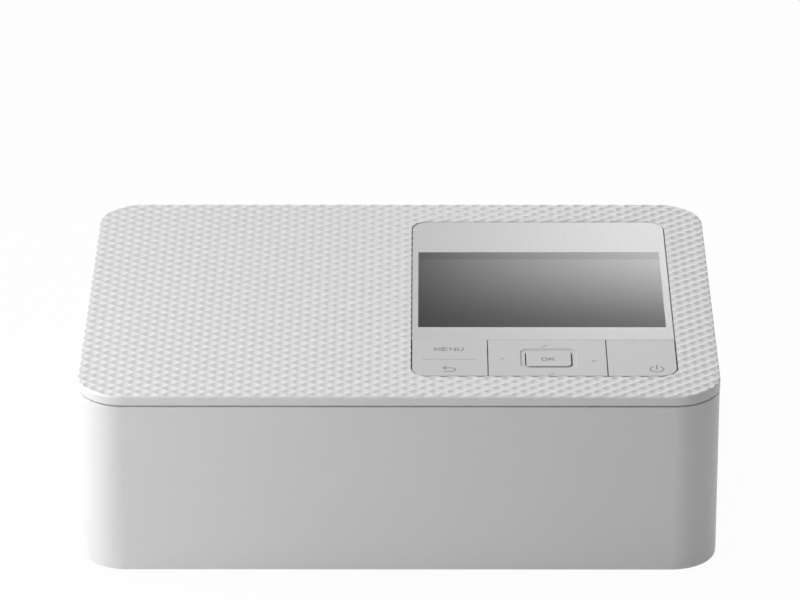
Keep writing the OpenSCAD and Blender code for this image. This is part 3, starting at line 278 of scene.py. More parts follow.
def shown(name, shape, material, crease=CREASE):
    """Turns a bmesh into a piece with soft shading that keeps its creases."""
    mesh = bpy.data.meshes.new(name)
    shape.to_mesh(mesh)
    shape.free()
    mesh.materials.clear()
    mesh.materials.append(material)
    mesh.polygons.foreach_set("use_smooth", [True] * len(mesh.polygons))
    mesh.set_sharp_from_angle(angle=crease)
    piece = bpy.data.objects.new(name, mesh)
    bpy.context.scene.collection.objects.link(piece)
    even = piece.modifiers.new("even", "WEIGHTED_NORMAL")
    even.keep_sharp = True
    held = bpy.context.evaluated_depsgraph_get()
    piece.data = bpy.data.meshes.new_from_object(piece.evaluated_get(held))
    piece.modifiers.clear()
    piece.data.name = name
    return piece


def inset(p, half_w, half_d, radius):
    """How far a point lies inside a rounded rectangle centred on the printer, in mm."""
    qx = abs(p[0]) - (half_w - radius)
    qy = abs(p[1]) - (half_d - radius)
    return radius - hypot(max(qx, 0), max(qy, 0)) - min(max(qx, qy), 0)


skin = grained_skin()
case_white = surface("case_white", skin, {"Tint": CASE_WHITE, "Roughness": 0.38}, bump=0.12)
dress(case_white, "base_pan")
base_pan = soft_copy("base_pan", "base_pan_soft", BASE_EDGE, lambda a, b: max(a.z, b.z) < BASE_RIM and
                     min(inset(a, *BASE_HALF), inset(b, *BASE_HALF)) < 5 * NEAR)
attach(base_pan, "case")
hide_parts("base_pan")

# ---------------------------------------------------------------------------------------------
# Rubber feet: four soft moulded pads pressed into the base, each with three rings on its sole.
FOOT_DIAMETER = 11.0
FOOT_HEIGHT = 2.3
FOOT_PLACES = [(x, y) for x in (-71.0, 71.0) for y in (-40.5, 50.4)]


def turned(profile, place, steps=48):
    """Spins an (out, up) outline round an upright axis through place, all in mm."""
    shape = bmesh.new()
    rings = []
    for reach, up in profile:
        ring = []
        for i in range(steps):
            a = 2 * pi * i / steps
            point = Vector((reach * cos(a), reach * sin(a), up)) + Vector(place)
            ring.append(shape.verts.new(point * MM))
        rings.append(ring)
    for low, high in zip(rings, rings[1:]):
        for i in range(steps):
            j = (i + 1) % steps
            shape.faces.new((low[i], low[j], high[j], high[i]))
    shape.faces.new(rings[0][::-1])
    shape.faces.new(rings[-1])
    bmesh.ops.remove_doubles(shape, verts=shape.verts, dist=WELD / 2)
    return shape


def joined(shapes):
    whole = bmesh.new()
    for shape in shapes:
        part = bpy.data.meshes.new("part")
        shape.to_mesh(part)
        shape.free()
        whole.from_mesh(part)
        bpy.data.meshes.remove(part)
    return whole


rubber = surface("foot_rubber", skin, {
    "Tint": (0.035, 0.035, 0.036, 1), "Grain": (1800, 1800, 1800), "Mottle": 0.15, "Roughness": 0.75},
    bump=0.3, depth=0.03)
foot_r = FOOT_DIAMETER / 2
sole = [
    (0.01, 0.12), (1.0, 0.12), (1.2, 0.0), (2.0, 0.0), (2.2, 0.25), (2.8, 0.25), (3.0, 0.0),
    (3.8, 0.0), (4.0, 0.25), (4.6, 0.25), (4.8, 0.0), (foot_r - 0.4, 0.0), (foot_r - 0.12, 0.12),
    (foot_r, 0.4), (foot_r, FOOT_HEIGHT - 0.02), (0.01, FOOT_HEIGHT - 0.02)]
feet = shown("rubber_feet_ringed", joined([turned(sole, (x, y, 0)) for x, y in FOOT_PLACES]), rubber)
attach(feet, "case")
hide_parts("rubber_feet")

# ---------------------------------------------------------------------------------------------
# Walls: left, back and right side in one white moulding, 2.5 mm thick. Every outer edge is broken by
# a small radius, which is finer round the ribbon door's opening.
WALL_HALF = (91.0, 66.4, 13.3)
OPEN_EDGE = 0.3
DOOR_OPENING_EDGE = 0.12
# the door's opening lies past these x and y, and between these heights
DOOR_OPENING = (90.9, -15, 5, 46)


def on_outside(a, b):
    return max(abs(inset(a, *WALL_HALF)), abs(inset(b, *WALL_HALF))) < 3 * NEAR


def on_walls(a, b):
    """The ribbon door's opening ends just before the corner begins to curve, so its edge is finer."""
    x, y, foot, head = DOOR_OPENING
    at_door = (min(a.x, b.x) > x and min(a.y, b.y) > y and min(a.z, b.z) > foot
               and max(a.z, b.z) < head)
    return on_outside(a, b) and (DOOR_OPENING_EDGE if at_door else True)


walls = soft_copy("body_shell", "body_shell_soft", OPEN_EDGE, on_walls)
walls.data.materials[0] = case_white
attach(walls, "case")
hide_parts("body_shell")

# ---------------------------------------------------------------------------------------------
# Front cover: one white moulding whose ends wrap the corners. It hangs on two steel pins at its foot.
front = soft_copy("front_cover", "front_cover_soft", OPEN_EDGE, on_outside)
front.data.materials[0] = case_white
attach(front, "front_cover")
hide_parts("front_cover")

# ---------------------------------------------------------------------------------------------
# Ribbon door: flat white moulding in the right wall, turning on a steel pin along its foot. The edges
# of its face are rounded, and those that run inwards from it.
DOOR_FACE = 90.7
DOOR_BACK = 88.4
door = soft_copy("ribbon_door", "ribbon_door_soft", OPEN_EDGE, lambda a, b: min(a.x, b.x) > DOOR_FACE or
                 (abs(a.y - b.y) < NEAR and min(a.x, b.x) > DOOR_BACK))
door.data.materials[0] = case_white
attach(door, "ribbon_door")
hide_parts("ribbon_door")

# ---------------------------------------------------------------------------------------------
# Top cover: white moulding with a raised net of fine ridges on top. The dimples between the ridges
# run out over the rounded edge, which cuts them, and stop at a small round rim at the panel's hole.
LID_HALF = (91.1, 66.5, 13.4)
LID_TOP = 57.6
EDGE_RADIUS = 1.0
SKIRT_FOOT = 54.5
UNDERSIDE = 55.6
NET_PITCH = (5.16, 4.20)
NET_PHASE = -0.735
NET_CELLS = (39, 69)
DIMPLE_DEPTH = 0.45
CELL_STEPS = 6
HOLE_CENTRE = (41.4, 0.25)
HOLE_HALF = (38.0, 53.55, 5.5)
RIM_RADIUS = 0.4
EDGE_STEPS = 6
HALVINGS = 24
# how far in and how high the corners of the skirt's foot and of the lip inside the walls are
SKIRT_PROFILE = (
    (0, SKIRT_FOOT + 0.15), (0.15, SKIRT_FOOT), (2.1, SKIRT_FOOT), (2.1, 54.4), (2.95, 54.4),
    (2.95, 52.05), (3.1, 51.9), (4.0, 51.9), (4.15, 52.05), (4.15, UNDERSIDE))
LID_RIBS = (-22.8, -43.8, -64.8)
RIB_SIZE = (1.2, 111.8, 1.2)
LID_CREASE = radians(24)
MESH_OUTPUT = (("Geometry", "Geometry"),)


def painted(tree, given, mesh):
    """Ends a geometry tree: gives its mesh the material and puts it out."""
    paint = new_node(tree, "GeometryNodeSetMaterial", {
        "Geometry": mesh, "Material": given["Material"]})
    new_node(tree, "NodeGroupOutput", {"Geometry": paint.outputs[0]})
    return tree


def real(tree, copies):
    """The copies of a geometry tree as one mesh."""
    return new_node(tree, "GeometryNodeRealizeInstances", {0: copies}).outputs[0]


def net_tree():
    """One bowl between four ridges, set out on a staggered grid and joined into one sheet."""
    tree, given = new_tree("ridge_net", "GeometryNodeTree", (
        ("Pitch X", "Float", 1.0), ("Pitch Y", "Float", 1.0), ("Depth", "Float", 0.1),
        ("Columns", "Int", 2), ("Rows", "Int", 2), ("Steps", "Int", 4),
        ("Material", "Material", None)), MESH_OUTPUT)

    def worked(kind, a, b=0):
        return reckon(tree, kind, a, b)

    def where():
        spot = new_node(tree, "ShaderNodeSeparateXYZ",
                        {0: new_node(tree, "GeometryNodeInputPosition").outputs[0]}).outputs
        return spot["X"], spot["Y"]

    def placed(size, points, spot):
        """A flat grid with its points at the given X, Y and Z."""
        mesh = new_node(tree, "GeometryNodeMeshGrid", {
            "Size X": size[0], "Size Y": size[1], "Vertices X": points[0], "Vertices Y": points[1]})
        at = new_node(tree, "ShaderNodeCombineXYZ", dict(enumerate(spot)))
        return new_node(tree, "GeometryNodeSetPosition", {
            "Geometry": mesh.outputs["Mesh"], "Position": at.outputs[0]}).outputs[0]

    corners = worked("ADD", given["Steps"], 1)
    a, b = where()
    bowl = worked("MULTIPLY", worked("SUBTRACT", 1, worked("MULTIPLY", a, a)),
                  worked("SUBTRACT", 1, worked("MULTIPLY", b, b)))
    bent = placed((2, 2), (corners, corners), (
        worked("MULTIPLY", worked("ADD", a, b), worked("MULTIPLY", given["Pitch X"], 0.25)),
        worked("MULTIPLY", worked("SUBTRACT", b, a), worked("MULTIPLY", given["Pitch Y"], 0.25)),
        worked("MULTIPLY", bowl, worked("MULTIPLY", given["Depth"], -1))))
    counts = (given["Columns"], given["Rows"])
    across, along = where()
    odd = worked("FLOORED_MODULO", worked("ROUND", along), 2)
    laid = placed([worked("SUBTRACT", count, 1) for count in counts], counts, (
        worked("MULTIPLY", worked("ADD", across, worked("MULTIPLY", odd, 0.5)), given["Pitch X"]),
        worked("MULTIPLY", along, worked("MULTIPLY", given["Pitch Y"], 0.5))))
    cells = new_node(tree, "GeometryNodeInstanceOnPoints", {"Points": laid, "Instance": bent})
    weld = new_node(tree, "GeometryNodeMergeByDistance", {
        "Geometry": real(tree, cells.outputs[0]), "Distance": 5 * WELD})
    return painted(tree, given, weld.outputs[0])


def grown(name, tree, values):
    """Runs a geometry tree with its inputs set, and gives the result as a plain mesh."""
    seed = bpy.data.objects.new(name, bpy.data.meshes.new(name))
    bpy.context.scene.collection.objects.link(seed)
    made = seed.modifiers.new(name, "NODES")
    made.node_group = tree
    for item in tree.interface.items_tree:
        if item.item_type == "SOCKET" and item.in_out == "INPUT" and item.name in values:
            made[item.identifier] = values[item.name]
    mesh = bpy.data.meshes.new_from_object(seed.evaluated_get(bpy.context.evaluated_depsgraph_get()))
    bpy.data.objects.remove(seed)
    return mesh


def net_height(x, y):
    """Height of the net below the ridges at a place in mm, as the geometry tree makes it."""
    u = x / NET_PITCH[0]
    v = (y - NET_PHASE) / NET_PITCH[1]
    a = 2 * ((u - v + 0.5) % 1.0) - 1
    b = 2 * ((u + v + 0.5) % 1.0) - 1
    return -DIMPLE_DEPTH * (1 - a * a) * (1 - b * b)


def edge_drop(far, radius):
    """How far a quarter-round edge lies below its top, at a distance inside its outer face."""
    if far >= radius:
        return 0.0
    if far <= 0:
        return -inf
    return sqrt(radius * radius - (radius - far) ** 2) - radius


def hole_gap(p):
    return -inset((p[0] - HOLE_CENTRE[0], p[1] - HOLE_CENTRE[1]), *HOLE_HALF)


def nearest(p, half, sign):
    """The foot of a point on a rounded rectangle, and the direction from the outline to the point."""
    w, d, r = half
    qx, qy = abs(p[0]) - (w - r), abs(p[1]) - (d - r)
    sx, sy = (1 if p[0] >= 0 else -1), (1 if p[1] >= 0 else -1)
    if qx > 0 and qy > 0:
        size = hypot(qx, qy)
        n = (sx * qx / size, sy * qy / size)
        foot = (sx * (w - r) + n[0] * r, sy * (d - r) + n[1] * r)
    elif qx > qy:
        n, foot = (sx, 0), (sx * w, p[1])
    else:
        n, foot = (0, sy), (p[0], sy * d)
    return foot, (n[0] * sign, n[1] * sign)


def reached(foot, way, off):
    """The place that lies a distance from a foot on the outline, along a way."""
    return foot[0] + way[0] * off, foot[1] + way[1] * off


def top_cover(material):
    """The net cut off where it meets the two rounded edges, and for each point of the cut whether it is
    on the outer edge, its foot on the outline, the way inwards and how far in it lies."""
    net = grown("ridge_net", net_tree(), {
        "Pitch X": NET_PITCH[0] * MM, "Pitch Y": NET_PITCH[1] * MM, "Depth": DIMPLE_DEPTH * MM,
        "Columns": NET_CELLS[0], "Rows": NET_CELLS[1], "Steps": CELL_STEPS, "Material": material})
    shape = bmesh.new()
    shape.from_mesh(net)
    bpy.data.meshes.remove(net)

    def clear(p):
        """Positive where the net lies below both rounded edges at a point."""
        low = net_height(p[0], p[1])
        return min(edge_drop(inset(p, *LID_HALF), EDGE_RADIUS), edge_drop(hole_gap(p), RIM_RADIUS)) - low

    kept = {}
    for v in shape.verts:
        v.co = (v.co.x, v.co.y + NET_PHASE * MM, v.co.z + LID_TOP * MM)
        kept[v] = clear((v.co.x / MM, v.co.y / MM)) > -1e-6
    lost = [f for f in shape.faces if not any(kept[v] for v in f.verts)]
    bmesh.ops.delete(shape, geom=lost, context="FACES")
    columns = {}
    for v in [v for v in shape.verts if not kept.get(v, True)]:
        p = (v.co.x / MM, v.co.y / MM)
        outer = inset(p, *LID_HALF) < hole_gap(p)
        half, centre = (LID_HALF, (0, 0)) if outer else (HOLE_HALF, HOLE_CENTRE)
        radius = EDGE_RADIUS if outer else RIM_RADIUS
        foot, way = nearest((p[0] - centre[0], p[1] - centre[1]), half, -1 if outer else 1)
        foot = (foot[0] + centre[0], foot[1] + centre[1])
        near, far = 0.0, radius
        for _ in range(HALVINGS):
            mid = (near + far) / 2
            if edge_drop(mid, radius) >= net_height(*reached(foot, way, mid)):
                far = mid
            else:
                near = mid
        v.co = Vector((*reached(foot, way, far), LID_TOP + edge_drop(far, radius))) * MM
        columns[v] = (outer, foot, way, far)
    return shape, columns


def loops_of(shape):
    """The open borders of a sheet, each as its vertices in order."""
    step = {}
    for e in shape.edges:
        if len(e.link_faces) == 1:
            f = e.link_faces[0]
            a, b = e.verts
            vs = list(f.verts)
            if vs[(vs.index(a) + 1) % len(vs)] is not b:
                a, b = b, a
            step.setdefault(a, []).append(b)
    loops = []
    while step:
        start = next(iter(step))
        loop, at = [], start
        while at in step:
            loop.append(at)
            ahead_of = step[at]
            follower = ahead_of.pop()
            if not ahead_of:
                del step[at]
            at = follower
        loops.append(loop)
    return sorted(loops, key=len, reverse=True)


lid_white = surface("lid_white", skin, {"Tint": CASE_WHITE, "Roughness": 0.36}, bump=0.08)
shape, columns = top_cover(lid_white)
loops = loops_of(shape)
inner_rings = {}
for loop in loops[:2]:
    outer = columns[loop[0]][0]
    radius = EDGE_RADIUS if outer else RIM_RADIUS
    profile = SKIRT_PROFILE if outer else ((0, UNDERSIDE),)
    last = loop
    for k in range(1, EDGE_STEPS + len(profile) + 1):
        ring = []
        for v in loop:
            _, foot, way, far = columns[v]
            if k <= EDGE_STEPS:
                a = atan2(sqrt(max(0, radius ** 2 - (radius - far) ** 2)), radius - far)
                a *= 1 - k / EDGE_STEPS
                off, z = radius * (1 - cos(a)), LID_TOP - radius * (1 - sin(a))
            else:
                off, z = profile[k - EDGE_STEPS - 1]
            ring.append(shape.verts.new(Vector((*reached(foot, way, off), z)) * MM))
        for i in range(len(loop)):
            j = (i + 1) % len(loop)
            shape.faces.new((last[j], last[i], ring[i], ring[j]))
        last = ring
    inner_rings[outer] = last
both = inner_rings[True] + inner_rings[False]
for tri in tessellate_polygon([[v.co for v in inner_rings[True]], [v.co for v in inner_rings[False]]]):
    shape.faces.new([both[i] for i in tri])
bmesh.ops.remove_doubles(shape, verts=shape.verts, dist=WELD / 4)
bmesh.ops.recalc_face_normals(shape, faces=shape.faces)
for x in LID_RIBS:
    rib = bmesh.ops.create_cube(shape, size=MM)["verts"]
    bmesh.ops.scale(shape, verts=rib, vec=RIB_SIZE)
    bmesh.ops.translate(shape, verts=rib, vec=Vector((x, 0, UNDERSIDE - RIB_SIZE[2] / 2 + 0.01)) * MM)
lid = shown("top_cover", shape, lid_white, LID_CREASE)
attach(lid, "case")
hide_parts("lid_shell")

# ---------------------------------------------------------------------------------------------
# Carrier and display front: a grey moulded frame below, and on it the smooth white sheet round the
# picture, set a little below the top cover.
BEZEL_EDGE = 0.25
BEZEL_TOP = 57.25
BEZEL_FRONT = -29.05
BEZEL_GAP = 0.18
# the solids' gaps toward the top cover and toward the keys, and a height just below their face
SOLID_GAPS = (0.5, 0.25)
SOLID_FACE = 56.6
# left, right, front and back of the hole that the picture window fills
GLASS = (5.4, 77.1, -20.6, 31.6)
GLASS_LAP = 0.1

inner_grey = surface("inner_grey", skin, {
    "Tint": (0.42, 0.425, 0.43, 1), "Mottle": 0.05, "Roughness": 0.5}, bump=0.2)
dress(inner_grey, "panel_frame", "paper_bay", "paper_guides")
bezel_white = surface("bezel_white", skin, {
    "Tint": (0.575, 0.575, 0.58, 1), "Roughness": 0.28}, bump=0.03, ior=1.37)


def lapped(p):
    """Widens the sheet until it nearly closes the gap round it, and lifts its face."""
    if abs(hole_gap(p) + SOLID_GAPS[0]) < 2 * NEAR:
        _, inward = nearest((p.x - HOLE_CENTRE[0], p.y - HOLE_CENTRE[1]), HOLE_HALF, -1)
        p -= Vector((*inward, 0)) * (SOLID_GAPS[0] - BEZEL_GAP)
    if abs(p.y - BEZEL_FRONT) < NEAR:
        p.y -= SOLID_GAPS[1] - BEZEL_GAP
    if p.z > SOLID_FACE:
        p.z = BEZEL_TOP
    return p


def on_sheet(a, b):
    """Edges of the sheet's face, but for those of the hole that the picture window fills."""
    left, right, front, back = GLASS
    at_hole = (left - GLASS_LAP < min(a.x, b.x) and max(a.x, b.x) < right + GLASS_LAP
               and front - GLASS_LAP < min(a.y, b.y) and max(a.y, b.y) < back + GLASS_LAP)
    return min(a.z, b.z) > BEZEL_TOP - NEAR and not at_hole


bezel = soft_copy("display_bezel", "display_front", BEZEL_EDGE, on_sheet, eased=lapped)
bezel.data.materials[0] = bezel_white
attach(bezel, "case")
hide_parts("display_bezel")

# ---------------------------------------------------------------------------------------------
# Picture window: a dark polished pane level with the sheet. A thin black strip along its back edge is
# painted shade, standing in for the shade that the sheet's edge casts there.
GLASS_SINK = 0.04
GLASS_EDGE = 0.03
# depth, inset and thickness of the black strip of painted shade along the pane's back edge
PAINTED_SHADE_DEPTH = 4.7
PAINTED_SHADE_IN = 0.05
PAINTED_SHADE_THICKNESS = 0.03

screen_dark = surface("screen_dark", skin, {
    "Tint": (0.012, 0.012, 0.0125, 1), "Mottle": 0.1, "Roughness": 0.07}, ior=1.213)
dress(screen_dark, "lcd_module")
glass_top = BEZEL_TOP - GLASS_SINK
pane = soft_copy("lcd_window", "display_pane", GLASS_EDGE, lambda a, b: min(a.z, b.z) > glass_top - NEAR,
                 eased=lambda p: Vector((p.x, p.y, glass_top if p.z > SOLID_FACE else p.z)))
pane.data.materials[0] = screen_dark
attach(pane, "case")
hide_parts("lcd_window")
# Painted shade: a black glossy sheet laid on the pane's back edge where the sheet's edge shades it
painted_shade_black = surface("painted_shade_black", skin, {
    "Tint": (0.004, 0.004, 0.004, 1), "Roughness": 0.07}, ior=1.187)
shape = bmesh.new()
bmesh.ops.create_cube(shape, size=MM)
bmesh.ops.scale(shape, verts=shape.verts, vec=(
    GLASS[1] - GLASS[0] - 2 * PAINTED_SHADE_IN, PAINTED_SHADE_DEPTH, PAINTED_SHADE_THICKNESS))
bmesh.ops.translate(shape, verts=shape.verts, vec=Vector((
    (GLASS[0] + GLASS[1]) / 2, GLASS[3] - PAINTED_SHADE_DEPTH / 2 - PAINTED_SHADE_IN, glass_top)) * MM)
mask = shown("display_mask", shape, painted_shade_black)
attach(mask, "case")

# ---------------------------------------------------------------------------------------------
# Keys: four satin caps with softened edges and, round the middle one, a ring with a slanted side. The
# signs are printed in grey, and the four arrows and a line are moulded proud.
KEY_TOP = 57.4
KEY_EDGE = 0.12
INK_LIFT = 0.012
RAISED = 0.11
RAISED_ROOT = 0.05
RAISED_CROWN = 0.4
LINE_WIDTH = 0.34
ARROW_WIDTH = 0.4
RECESS_FLOOR = 57.08
RECESS_SLOPE = 0.35
KEY_GROWTH = 0.24
OK_CENTRE = (42.7, -41.7)
RECESS_HALF = (11, 7)
SOLID_RECESS_FLOOR = 56.5
SIGN_WIDTH = 0.38
LETTER_PITCH = 2.2
SIGN_CREASE = radians(30)
MENU_WORD = (14.25, -35.6)
MENU_LINE = ((6.5, -42.3), (22.0, -42.3))
BACK_ARROW = (14.2, -49.0)
OK_WORD = (42.6, -42.1)
POWER_SIGN = (73.3, -48.6)
# each arrow's middle, half its length towards its tip and half its width
ARROWS = ((42.4, -33.5, 0, 0.65, 1.55, 0), (42.5, -51.9, 0, -0.65, 1.55, 0),
          (29.1, -42.6, -0.8, 0, 0, 1.2), (55.6, -42.6, 0.8, 0, 0, 1.2))

key_white = surface("key_white", skin, {"Tint": (0.59, 0.59, 0.595, 1), "Roughness": 0.42}, bump=0.1)
key_ink = surface("key_ink", skin, {"Tint": (0.22, 0.225, 0.235, 1), "Roughness": 0.55}, bump=0.05)


def dished(p):
    """Raises the floor of the ring round the middle key, and lays its outer side at a slant."""
    if abs(p.z - SOLID_RECESS_FLOOR) < NEAR:
        p.z = RECESS_FLOOR
    x, y = p.x - OK_CENTRE[0], p.y - OK_CENTRE[1]
    if p.z > KEY_TOP - NEAR and abs(x) < RECESS_HALF[0] and abs(y) < RECESS_HALF[1]:
        p += Vector((copysign(RECESS_SLOPE, x), copysign(RECESS_SLOPE, y), 0))
    return p


def snug(node):
    """Lets a key nearly fill its place, with the finest line that shows between it and the next."""
    corners = [Vector(corner) / MM for corner in nodes[node].bound_box]
    middle = (corners[0] + corners[6]) / 2
    span = corners[6] - corners[0]
    swell = Vector((1 + KEY_GROWTH / span.x, 1 + KEY_GROWTH / span.y, 1))
    return lambda p: middle + Matrix.Diagonal(swell) @ (dished(p) - middle)


for node in ("menu_key", "dpad_key", "ok_key", "power_key"):
    cap = soft_copy(node, node + "_cap", KEY_EDGE, lambda a, b: min(a.z, b.z) > KEY_TOP - NEAR,
                    eased=None if node == "ok_key" else snug(node))
    cap.data.materials[0] = key_white
    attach(cap, node)
    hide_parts(node)


def band(points, width, low, high, crown=1.0, closed=False):
    """A flat strip along a line of points in mm, from low to high; crown narrows its top."""
    shape = bmesh.new()
    rings = []
    count = len(points)
    for i, p in enumerate(points):
        here = Vector(p)
        before = Vector(points[i - 1]) if i or closed else None
        after = Vector(points[(i + 1) % count]) if i < count - 1 or closed else None
        ways = [(b - a).normalized() for a, b in ((before, here), (here, after))
                if None not in (a, b)]
        along = sum(ways, Vector((0, 0))).normalized()
        reach = width / 2 / max(0.4, along.dot(ways[0]))
        out = Vector((-along.y, along.x)) * reach
        rings.append([shape.verts.new(Vector((*(here + out * s), z)) * MM)
                      for s, z in ((1, low), (-1, low), (-crown, high), (crown, high))])
    pairs = list(zip(rings, rings[1:])) + ([(rings[-1], rings[0])] if closed else [])
    for a, b in pairs:
        for i in range(4):
            j = (i + 1) % 4
            shape.faces.new((a[i], a[j], b[j], b[i]))
    if not closed:
        shape.faces.new(rings[0][::-1])
        shape.faces.new(rings[-1])
    bmesh.ops.recalc_face_normals(shape, faces=shape.faces)
    return shape


def arc(centre, radii, start, end, steps):
    turns = [radians(start + (end - start) * i / steps) for i in range(steps + 1)]
    return [(centre[0] + radii[0] * cos(a), centre[1] + radii[1] * sin(a)) for a in turns]


def printed(points, closed=False):
    return band(points, SIGN_WIDTH, KEY_TOP - INK_LIFT, KEY_TOP + INK_LIFT, closed=closed)


STROKES = {
    "M": [[(0, 0), (0, 1), (0.5, 0.25), (1, 1), (1, 0)]],
    "E": [[(1, 1), (0, 1), (0, 0), (1, 0)], [(0, 0.52), (0.9, 0.52)]],
    "N": [[(0, 0), (0, 1), (1, 0), (1, 1)]],
    "U": [[(0, 1)] + arc((0.5, 0.45), (0.5, 0.45), 180, 360, 12) + [(1, 1)]],
    "O": [arc((0.5, 0.5), (0.5, 0.5), 0, 345, 23)],
    "K": [[(0, 0), (0, 1)], [(0.95, 1), (0.04, 0.4)], [(0.3, 0.58), (1, 0)]]}


def letters(word, centre, size):
    """Sans capitals in strokes of one width, each of a given size in mm."""
    shapes = []
    for i, letter in enumerate(word):
        left = centre[0] + (i - (len(word) - 1) / 2) * LETTER_PITCH - size[0] / 2
        for stroke in STROKES[letter]:
            points = [(left + x * size[0], centre[1] + (y - 0.5) * size[1]) for x, y in stroke]
            shapes.append(printed(points, closed=letter == "O"))
    return shapes


def raised(points, width):
    return band(points, width, KEY_TOP - RAISED_ROOT, KEY_TOP + RAISED, RAISED_CROWN)


def sign(name, shapes, material, node):
    piece = shown(name, joined(shapes), material, SIGN_CREASE)
    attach(piece, node)


x, y = BACK_ARROW
sign("menu_signs", letters("MENU", MENU_WORD, (1.5, 2.1)) + [
    printed([(x - 1.5, y + 1.1), (x + 0.7, y + 1.1)] + arc((x + 0.7, y), (1.1, 1.1), 85, -85, 14)
            + [(x + 0.5, y - 1.1), (x - 1.5, y - 1.1)]),
    printed([(x - 0.7, y + 2.0), (x - 1.75, y + 1.1), (x - 0.7, y + 0.2)])], key_ink, "menu_key")
sign("menu_ridge", [raised(MENU_LINE, LINE_WIDTH)], key_white, "menu_key")
sign("ok_sign", letters("OK", OK_WORD, (1.6, 2.0)), key_ink, "ok_key")
x, y = POWER_SIGN
sign("power_sign", [printed(arc(POWER_SIGN, (1.9, 1.9), 58, -238, 40)),
                    printed([(x, y - 0.2), (x, y + 2.6)])], key_ink, "power_key")
sign("arrow_ridges", [
    raised([(x - dx - ax, y - dy - ay), (x + dx, y + dy), (x - dx + ax, y - dy + ay)], ARROW_WIDTH)
    for x, y, dx, dy, ax, ay in ARROWS], key_white, "dpad_key")

# ---------------------------------------------------------------------------------------------
# Key board and its eight switches: green board with copper tracks, and black switch bodies.


def board_skin():
    """Solder mask over copper tracks that run one way or the other from patch to patch."""
    tree, given = new_tree("board_skin", "ShaderNodeTree", (
        ("Mask", "Color", (0.012, 0.09, 0.035, 1)), ("Track", "Color", (0.05, 0.2, 0.07, 1)),
        ("Pitch", "Float", 700.0), ("Roughness", "Float", 0.35)), SKIN_OUTPUTS)
    place = new_node(tree, "ShaderNodeTexCoord").outputs["Object"]
    across, along = [new_node(tree, "ShaderNodeTexWave", {
        "Vector": place, "Scale": given["Pitch"], "Distortion": 0.0}, wave_type="BANDS",
        bands_direction=way).outputs["Fac"] for way in "XY"]
    patches = spread(tree, noise(tree, place, 130.0, 0.0), -2.0, 3.0)
    lines = new_node(tree, "ShaderNodeMix", {"Factor": patches, "A": across, "B": along},
                     data_type="FLOAT", clamp_factor=True).outputs["Result"]
    there = spread(tree, noise(tree, place, 260.0, 0.0), -1.0, 1.6)
    track = reckon(tree, "MULTIPLY", spread(tree, lines, -1.2, 1.2), there, use_clamp=True)
    # inputs 6 and 7 of a Mix node are its two colours
    shade = new_node(tree, "ShaderNodeMix", {"Factor": track, 6: given["Mask"], 7: given["Track"]},
                     data_type="RGBA")
    uneven = spread(tree, noise(tree, place, 900.0), 0.85, 1.15)
    rough = reckon(tree, "MULTIPLY", given["Roughness"], uneven)
    new_node(tree, "NodeGroupOutput", {"Color": shade.outputs[2], "Roughness": rough, "Height": track})
    return tree


board_green = surface("board_green", board_skin(), {}, bump=0.5, depth=0.04)
dress(board_green, "key_board", "main_board")
black_plastic = surface("black_plastic", skin, {
    "Tint": (0.03, 0.03, 0.032, 1), "Mottle": 0.1, "Roughness": 0.4}, bump=0.15)
dress(black_plastic, "key_switches", "pickup_arm", "takeup_hub", "supply_hub", "board_parts", "dc_jack")

# ---------------------------------------------------------------------------------------------
# Chassis and drive metal: galvanised plates, ground shafts, brass bushes and pinions, plated motor
# cans and an extruded cooler. Each is streaked the way it was rolled, ground or drawn.
METALS = (
    # name, colour, grains a metre along X, Y and Z, roughness, mottling and the nodes made of it
    ("sheet_steel", (0.52, 0.53, 0.54), (900, 45, 900), 0.34, 0.12,
     ("chassis_left", "chassis_right", "gear_bracket", "card_slot", "usb_port")),
    ("cross_steel", (0.52, 0.53, 0.54), (45, 900, 900), 0.34, 0.12, ("chassis_ties", "head_arms")),
    ("bright_steel", (0.64, 0.64, 0.65), (1800, 60, 60), 0.2, 0.05,
     ("cover_pins", "platen_shaft", "grip_roller", "pinch_roller", "pickup_shaft", "head_shaft")),
    ("pin_steel", (0.64, 0.64, 0.65), (60, 1800, 60), 0.2, 0.05, ("door_pin",)),
    ("motor_steel", (0.3, 0.31, 0.32), (70, 700, 700), 0.38, 0.1, ("drive_motor", "ribbon_motor")),
    ("brass_bush", (0.62, 0.44, 0.17), (1500, 80, 80), 0.3, 0.1,
     ("bushings", "drive_pinion", "ribbon_pinion")),
    ("head_alu", (0.62, 0.63, 0.64), (40, 1100, 1100), 0.32, 0.06, ("head_heatsink",)))
for name, tint, grain, roughness, mottle, parts in METALS:
    metal = surface(name, skin, {
        "Tint": (*tint, 1), "Grain": grain, "Mottle": mottle, "Roughness": roughness},
        bump=0.08, metallic=1.0)
    dress(metal, *parts)

# ---------------------------------------------------------------------------------------------
# Screws: zinc-plated, with a cross recess in a low cylindrical head. Four hold the walls to the base
# from below and six hold the chassis from above.
SCREWS = (
    # node, height of the heads, radius of the shanks, and whether the heads face down
    ("base_screws", 1.0, 1.0, True),
    ("chassis_screws", 1.4, 0.95, False))
SLOT_SIZE = (1.25, 0.28)
SLOT_RISE = 0.98


